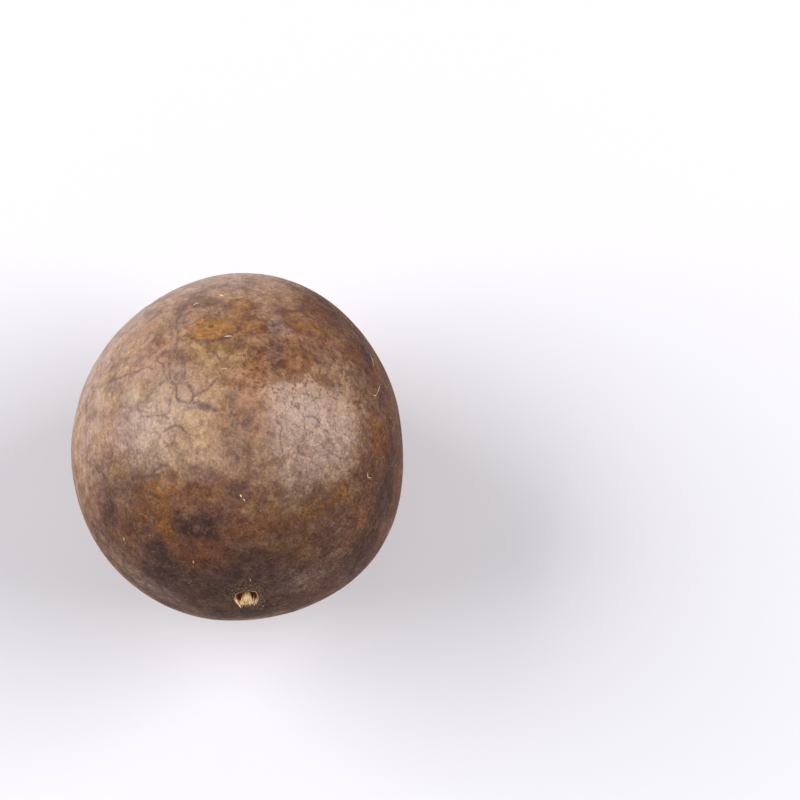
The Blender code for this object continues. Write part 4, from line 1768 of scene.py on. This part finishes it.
class Draft:
    """A mesh in the making, in millimetres, with a tone and a place along for each vertex."""

    # Where a strand's side points before it is turned square to the strand.
    SIDE = (0.31, 0.87, 0.39)
    # A crumb's rows and sides, how uneven it is, and its breadth as a share of its width.
    CRUMB_ROWS = 4
    CRUMB_SIDES = 6
    CRUMB_UNEVENNESS = (0.65, 1.1)
    CRUMB_BREADTH = 0.6

    def __init__(self) -> None:
        """Starts empty."""
        self.vertices: list[Vector] = []
        self.faces: list[tuple[int, ...]] = []
        self.tone: list[float] = []
        self.along: list[float] = []

    def add(self, point: Vector, tone: float, along: float) -> int:
        """Adds a vertex.

        Args:
            point: Where it is.
            tone: How pale it is, from 0 to 1.
            along: How far along its strand it is, from 0 to 1.

        Returns:
            Its index.
        """
        self.vertices.append(point)
        self.tone.append(tone)
        self.along.append(along)
        return len(self.vertices) - 1

    def tube(
        self, path: Sequence[Vector], radii: Sequence[float], sides: int, flat: float, tone: float
    ) -> None:
        """Adds a closed strand along a path.

        Args:
            path: Its middle line.
            radii: Its half width at each point.
            sides: How many sides it has.
            flat: Its thickness as a share of its width.
            tone: How pale it is, from 0 to 1.
        """
        rings = []
        side = Vector(self.SIDE)
        last = len(path) - 1
        for step, (point, radius) in enumerate(zip(path, radii)):
            heading = (path[min(step + 1, last)] - path[max(step - 1, 0)]).normalized()
            side = (side - heading * side.dot(heading)).normalized()
            other = heading.cross(side)
            ring = []
            for corner in range(sides):
                angle = 2.0 * math.pi * corner / sides
                offset = side * (radius * math.cos(angle)) + other * (radius * flat * math.sin(angle))
                ring.append(self.add(point + offset, tone, step / last))
            rings.append(ring)
        for near, far in zip(rings, rings[1:]):
            for corner in range(sides):
                after = (corner + 1) % sides
                self.faces.append((near[corner], near[after], far[after], far[corner]))
        self.faces.append(tuple(reversed(rings[0])))
        self.faces.append(tuple(rings[-1]))

    def crumb(self, middle: Vector, size: float, draw: np.random.Generator, tone: float) -> None:
        """Adds a small broken crumb.

        Args:
            middle: Where it lies.
            size: Its half size.
            draw: Where its unevenness comes from.
            tone: How pale it is, from 0 to 1.
        """
        rows, sides = self.CRUMB_ROWS, self.CRUMB_SIDES
        lean = Vector(draw.normal(size=3)).normalized()
        side = lean.orthogonal().normalized()
        other = lean.cross(side)
        path_rings = []
        for row in range(1, rows):
            level = math.pi * row / rows
            ring = []
            for corner in range(sides):
                angle = 2.0 * math.pi * (corner + 0.5 * row) / sides
                reach = size * math.sin(level) * draw.uniform(*self.CRUMB_UNEVENNESS)
                broad = self.CRUMB_BREADTH * reach
                point = middle + side * (reach * math.cos(angle)) + other * (broad * math.sin(angle))
                ring.append(self.add(point + lean * (size * math.cos(level)), tone, 1.0))
            path_rings.append(ring)
        top = self.add(middle + lean * size, tone, 1.0)
        foot = self.add(middle - lean * size, tone, 1.0)
        for near, far in zip(path_rings, path_rings[1:]):
            for corner in range(sides):
                after = (corner + 1) % sides
                self.faces.append((near[corner], far[corner], far[after], near[after]))
        for corner in range(sides):
            after = (corner + 1) % sides
            self.faces.append((top, path_rings[0][corner], path_rings[0][after]))
            self.faces.append((foot, path_rings[-1][after], path_rings[-1][corner]))

    def finish(self, name: str, material: bpy.types.Material) -> bpy.types.Object:
        """Turns the draft into a piece.

        Args:
            name: The piece's name.
            material: Its material.

        Returns:
            The piece.
        """
        piece = new_object(name, np.array([list(v) for v in self.vertices]), self.faces)
        add_attribute(piece, "tone", np.array(self.tone))
        add_attribute(piece, "along", np.array(self.along))
        piece.data.materials.append(material)
        return piece


@dataclass
class StalkStub:
    """The torn end of the stalk: a bundle of fibres that flares and breaks off unevenly."""

    form: FruitForm
    finish: FibreFinish
    name: str = "stalk_fibres"
    seed: int = 23
    strands: int = 40
    root_height: float = -1.75
    lean: float = -0.02
    root_radius: float = 0.70
    flare: float = 0.66
    tip_height: tuple[float, float] = (0.70, 1.50)
    strand_radius: tuple[float, float] = (0.075, 0.17)
    core_radius: float = 0.46
    core_height: float = -0.30
    sliver_bow: tuple[float, float] = (0.05, 0.16)
    sliver_tone: tuple[float, float] = (0.35, 0.6)
    # Slivers that stand up from the torn edge: foot and tip as (across, over, along), and half width.
    slivers: tuple[tuple[tuple[float, float, float], tuple[float, float, float], float], ...] = (
        ((-2.15, 0.55, 0.10), (-1.15, -0.75, 1.42), 0.20),
        ((1.72, -0.20, -0.10), (1.22, -0.80, 1.25), 0.16),
        ((1.85, -0.50, 0.05), (1.55, -1.05, 0.85), 0.13),
        ((1.30, 0.10, -0.40), (1.02, -0.50, 1.00), 0.11),
    )

    def point(self, across: float, over: float, along: float) -> Vector:
        """A point by the foot of the stalk, set on the ground."""
        foot = self.form.skin(np.array([0.0]), np.array([0.0]))[0]
        return Vector(self.form.to_ground(foot + np.array([across, over, along])))

    def build(self) -> bpy.types.Object:
        """Makes the stub.

        Returns:
            The piece.
        """
        draw = np.random.default_rng(self.seed)
        draft = Draft()
        self.add_core(draft)
        for strand in range(self.strands):
            self.add_strand(draft, draw, strand)
        for foot, tip, radius in self.slivers:
            self.add_sliver(draft, draw, foot, tip, radius)
        return draft.finish(self.name, self.finish.build(self.form.axis_rise))

    def add_core(self, draft: Draft) -> None:
        """Adds the pith that the strands stand round.

        Args:
            draft: The mesh to add to.
        """
        heights = np.linspace(self.root_height, self.core_height, 6)
        radii = [self.core_radius * share for share in (0.95, 1.0, 1.0, 0.98, 0.9, 0.55)]
        draft.tube([self.point(self.lean, 0.0, height) for height in heights], radii, 14, 1.0, 0.2)

    def add_strand(self, draft: Draft, draw: np.random.Generator, strand: int) -> None:
        """One torn strand.

        Args:
            draft: The mesh to add to.
            draw: Where its chance values come from.
            strand: Its number.
        """
        angle = 2.0 * math.pi * (strand * 0.618 + draw.uniform(-0.02, 0.02))
        radius = self.root_radius * math.sqrt(draw.uniform(0.25, 1.0))
        tip = draw.uniform(*self.tip_height)
        flare = self.flare * draw.uniform(0.4, 1.25)
        twist = draw.uniform(-0.25, 0.25)
        width = draw.uniform(*self.strand_radius)
        path, radii = [], []
        for share in np.linspace(0.0, 1.0, 10):
            height = self.root_height + (tip - self.root_height) * share
            out = radius + flare * share**3 + 0.03 * math.sin(9.0 * share + strand)
            turn = angle + twist * share
            path.append(self.point(self.lean + out * math.cos(turn), out * math.sin(turn), height))
            radii.append(width * (1.0 - 0.82 * max(0.0, share - 0.72) / 0.28))
        draft.tube(path, radii, 6, draw.uniform(0.45, 0.9), draw.uniform(0.0, 1.0))

    def add_sliver(
        self,
        draft: Draft,
        draw: np.random.Generator,
        foot: tuple[float, float, float],
        tip: tuple[float, float, float],
        radius: float,
    ) -> None:
        """One sliver of the torn edge.

        Args:
            draft: The mesh to add to.
            draw: Where its chance values come from.
            foot: Where it starts.
            tip: Where it ends.
            radius: Its half width.
        """
        bow = draw.uniform(*self.sliver_bow)
        path, radii = [], []
        for share in np.linspace(0.0, 1.0, 8):
            across, over, along = np.array(foot) * (1 - share) + np.array(tip) * share
            path.append(self.point(across, over, along + bow * math.sin(math.pi * share)))
            body = 0.55 + 0.45 * math.sin(math.pi * (0.25 + 0.6 * share))
            radii.append(radius * body * (1.0 - 0.5 * share**3))
        draft.tube(path, radii, 6, 0.5, draw.uniform(*self.sliver_tone))


@dataclass(frozen=True)
class Sliver:
    """A loose fibre that lies on the skin, from one pixel to another, with its half width."""

    pixels: tuple[Pixel, ...]
    half_width: float = 0.09


@dataclass
class LooseBits:
    """Pale slivers, specks and crumbs that cling to the skin."""

    form: FruitForm
    sight: Sight
    finish: FibreFinish
    name: str = "loose_slivers"
    seed: int = 37
    slivers: tuple[Sliver, ...] = (
        Sliver(((224.5, 336.8), (228, 336.3), (232, 336.2)), 0.09),
        Sliver(((379.8, 384.5), (378.4, 389.5), (376, 395.5)), 0.07),
        Sliver(((376, 395.8), (373.6, 395.2)), 0.06),
        Sliver(((370.5, 355.5), (372.5, 361), (374, 367)), 0.06),
        Sliver(((367.5, 472.5), (367.6, 477), (371, 478)), 0.09),
        Sliver(((240, 494.5), (241.5, 497)), 0.14),
        Sliver(((243, 498.5), (245, 501)), 0.07),
        Sliver(((193.3, 560.5), (193.5, 562.5)), 0.13),
        Sliver(((249.5, 578), (250.6, 580), (249.8, 581.5)), 0.05),
        Sliver(((124, 537), (124.6, 541)), 0.10),
        Sliver(((221.5, 369), (224, 368.3), (227, 369)), 0.05),
        Sliver(((219.5, 295), (223.5, 296)), 0.09),
        Sliver(((193, 305.5), (196, 303.8), (199, 303.2)), 0.08),
    )
    crumbs: tuple[Pixel, ...] = (
        *((260, 599), (262, 602), (259, 604), (263, 606), (257, 608), (261, 609), (264, 600)),
        *((198, 555.5), (193.3, 566.5), (125.5, 543), (238, 471), (389, 412), (378, 445)),
    )
    crumb_size: tuple[float, float] = (0.08, 0.14)
    dust: int = 60
    dust_size: tuple[float, float] = (0.03, 0.07)
    # Dust keeps this far above the ground, in millimetres, and off skin that faces down more than this.
    dust_height: float = 0.3
    dust_overhang: float = -0.9

    def build(self) -> bpy.types.Object:
        """Makes the loose bits.

        Returns:
            The piece.
        """
        draw = np.random.default_rng(self.seed)
        draft = Draft()
        for sliver in self.slivers:
            self.add_sliver(draft, draw, sliver)
        for pixel in self.crumbs:
            middle, normal = self.sight.place(pixel)
            size, tone = draw.uniform(*self.crumb_size), draw.uniform(0.0, 0.5)
            draft.crumb(middle + normal * 0.03, size, draw, tone)
        for _ in range(self.dust):
            self.add_dust(draft, draw)
        return draft.finish(self.name, self.finish.build(self.form.axis_rise))

    def add_sliver(self, draft: Draft, draw: np.random.Generator, sliver: Sliver) -> None:
        """One sliver along its pixels, lying on the skin.

        Args:
            draft: The mesh to add to.
            draw: Where its chance values come from.
            sliver: The sliver.
        """
        places = [self.sight.place(pixel) for pixel in sliver.pixels]
        lifted = [list(spot + normal * sliver.half_width * 0.5) for spot, normal in places]
        line = curve_through(np.array(lifted), 4)
        bodies = [math.sin(math.pi * (0.12 + 0.8 * share)) for share in np.linspace(0.0, 1.0, len(line))]
        radii = [sliver.half_width * (0.25 + 0.75 * body) for body in bodies]
        draft.tube([Vector(point) for point in line], radii, 5, 0.6, draw.uniform(0.7, 1.0))

    def add_dust(self, draft: Draft, draw: np.random.Generator) -> None:
        """Adds a grain of dust somewhere on the skin.

        Args:
            draft: The mesh to add to.
            draw: Where its chance values come from.
        """
        spot, normal = self.sight.anywhere(draw)
        size = draw.uniform(*self.dust_size)
        if normal.z > self.dust_overhang and spot.z > self.dust_height:
            draft.crumb(spot + normal * size * 0.2, size, draw, draw.uniform(0.2, 1.0))


@dataclass
class SkinHairs:
    """The last short hairs of the young fruit's down, lying close to the skin."""

    form: FruitForm
    sight: Sight
    finish: FibreFinish
    name: str = "skin_hairs"
    seed: int = 53
    count: int = 320
    length: tuple[float, float] = (0.5, 1.5)
    bend: float = 0.5
    lift: tuple[float, float] = (0.04, 0.22)
    half_width: float = 0.014
    # The hair's taper, and how deep its root is under the skin.
    taper: tuple[float, ...] = (1.0, 0.9, 0.7, 0.25)
    root_depth: float = 0.02

    def build(self) -> bpy.types.Object:
        """Makes the hairs.

        Returns:
            The piece.
        """
        draw = np.random.default_rng(self.seed)
        draft = Draft()
        low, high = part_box("fruit")
        for _ in range(self.count):
            path = self.hair(draw)
            if all(low[k] / MM < point[k] < high[k] / MM for point in path for k in range(3)):
                draft.tube(path, [self.half_width * share for share in self.taper], 3, 1.0, 0.5)
        return draft.finish(self.name, self.finish.build(self.form.axis_rise))

    def hair(self, draw: np.random.Generator) -> list[Vector]:
        """One hair's middle line.

        Args:
            draw: Where its chance values come from.

        Returns:
            Its points.
        """
        spot, normal = self.sight.anywhere(draw)
        heading = normal.cross(Vector(draw.normal(size=3))).normalized()
        bend = normal.cross(heading) * draw.uniform(-self.bend, self.bend)
        length = draw.uniform(*self.length)
        lift = draw.uniform(*self.lift)
        path = []
        for share in (0.0, 0.33, 0.66, 1.0):
            point = spot + heading * (length * share) + bend * (length * share * share)
            path.append(point + normal * (lift * math.sin(2.4 * share) - self.root_depth))
        return path


@dataclass(frozen=True)
class Softbox:
    """A large soft light, by its direction from the fruit, in degrees and metres."""

    name: str
    azimuth: float
    elevation: float
    distance: float
    size: tuple[float, float]
    power: float
    tint: tuple[float, float, float] = (1.0, 1.0, 1.0)

    def hang(self, target: Vector) -> bpy.types.Object:
        """Hangs the light, aimed at the fruit.

        Args:
            target: The fruit's middle, in metres.

        Returns:
            The light object.
        """
        data = bpy.data.lights.new(self.name, "AREA")
        data.shape = "RECTANGLE"
        data.size, data.size_y = self.size
        data.energy = self.power
        data.color = self.tint
        turn, tilt = math.radians(self.azimuth), math.radians(self.elevation)
        towards = Vector((math.sin(turn) * math.cos(tilt), math.cos(turn) * math.cos(tilt), math.sin(tilt)))
        return stand(self.name, data, target + towards * self.distance, towards)


@dataclass(frozen=True)
class Studio:
    """A plain pale floor and soft light from behind on the left and the right."""

    floor_half: float = 2.0
    floor_colour: Colour = paint(232, 232, 240)
    floor_roughness: float = 0.9
    sky: Colour = (1.0, 0.98, 0.96, 1.0)
    sky_strength: float = 0.25
    lights: tuple[Softbox, ...] = (
        Softbox("left_softbox", -74.0, 33.0, 1.5, (1.45, 1.30), 26.3, (1.0, 0.99, 0.98)),
        Softbox("right_softbox", 88.0, 38.0, 1.5, (1.26, 1.02), 20.6, (1.0, 0.985, 0.97)),
    )

    def build(self, target: Vector) -> bpy.types.Object:
        """Lays the floor and hangs the lights.

        Args:
            target: The fruit's middle, in metres.

        Returns:
            The floor.
        """
        half = self.floor_half / MM
        corners = half * np.array([[-1, -1, 0], [1, -1, 0], [1, 1, 0], [-1, 1, 0]])
        floor = new_object("floor", corners, [(0, 1, 2, 3)])
        w = Wiring("pale_floor")
        w.shader.inputs["Base Color"].default_value = self.floor_colour
        w.shader.inputs["Roughness"].default_value = self.floor_roughness
        floor.data.materials.append(w.material)
        for light in self.lights:
            light.hang(target)
        world = bpy.data.worlds.new("studio")
        world.use_nodes = True
        background = world.node_tree.nodes["Background"]
        background.inputs["Color"].default_value = self.sky
        background.inputs["Strength"].default_value = self.sky_strength
        bpy.context.scene.world = world
        bpy.context.scene.view_settings.view_transform = "Standard"
        return floor


def adopt(piece: bpy.types.Object, slot: str, *nodes: str) -> None:
    """Sets a piece on the fruit's body and hides the solids that it stands for.

    Args:
        piece: The piece.
        slot: The record's material slot; not used.
        nodes: The solids that it stands for, if any.
    """
    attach(piece, BODY)
    if nodes:
        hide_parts(*nodes)
    log.info("%s: %d faces", piece.name, len(piece.data.polygons))


def main() -> None:
    """Builds the fruit's pieces in order."""
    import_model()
    view = PhotoView()
    form = FruitForm().settled(*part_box("fruit"))
    middle = Vector(form.middle)
    view.place_camera(middle)
    Studio().build(middle * MM)
    rind, sight = Rind(form, view).build()
    adopt(rind, "rind", "fruit")
    stub = StalkStub(form, TORN_FIBRE).build()
    adopt(stub, "stalk_fibre", "stem_stub")
    bits = LooseBits(form, sight, LOOSE_FIBRE).build()
    adopt(bits, "stalk_fibre")
    hairs = SkinHairs(form, sight, SKIN_DOWN).build()
    adopt(hairs, "stalk_fibre")


if __name__ == "__main__":
    logging.basicConfig(level=logging.INFO)
    main()
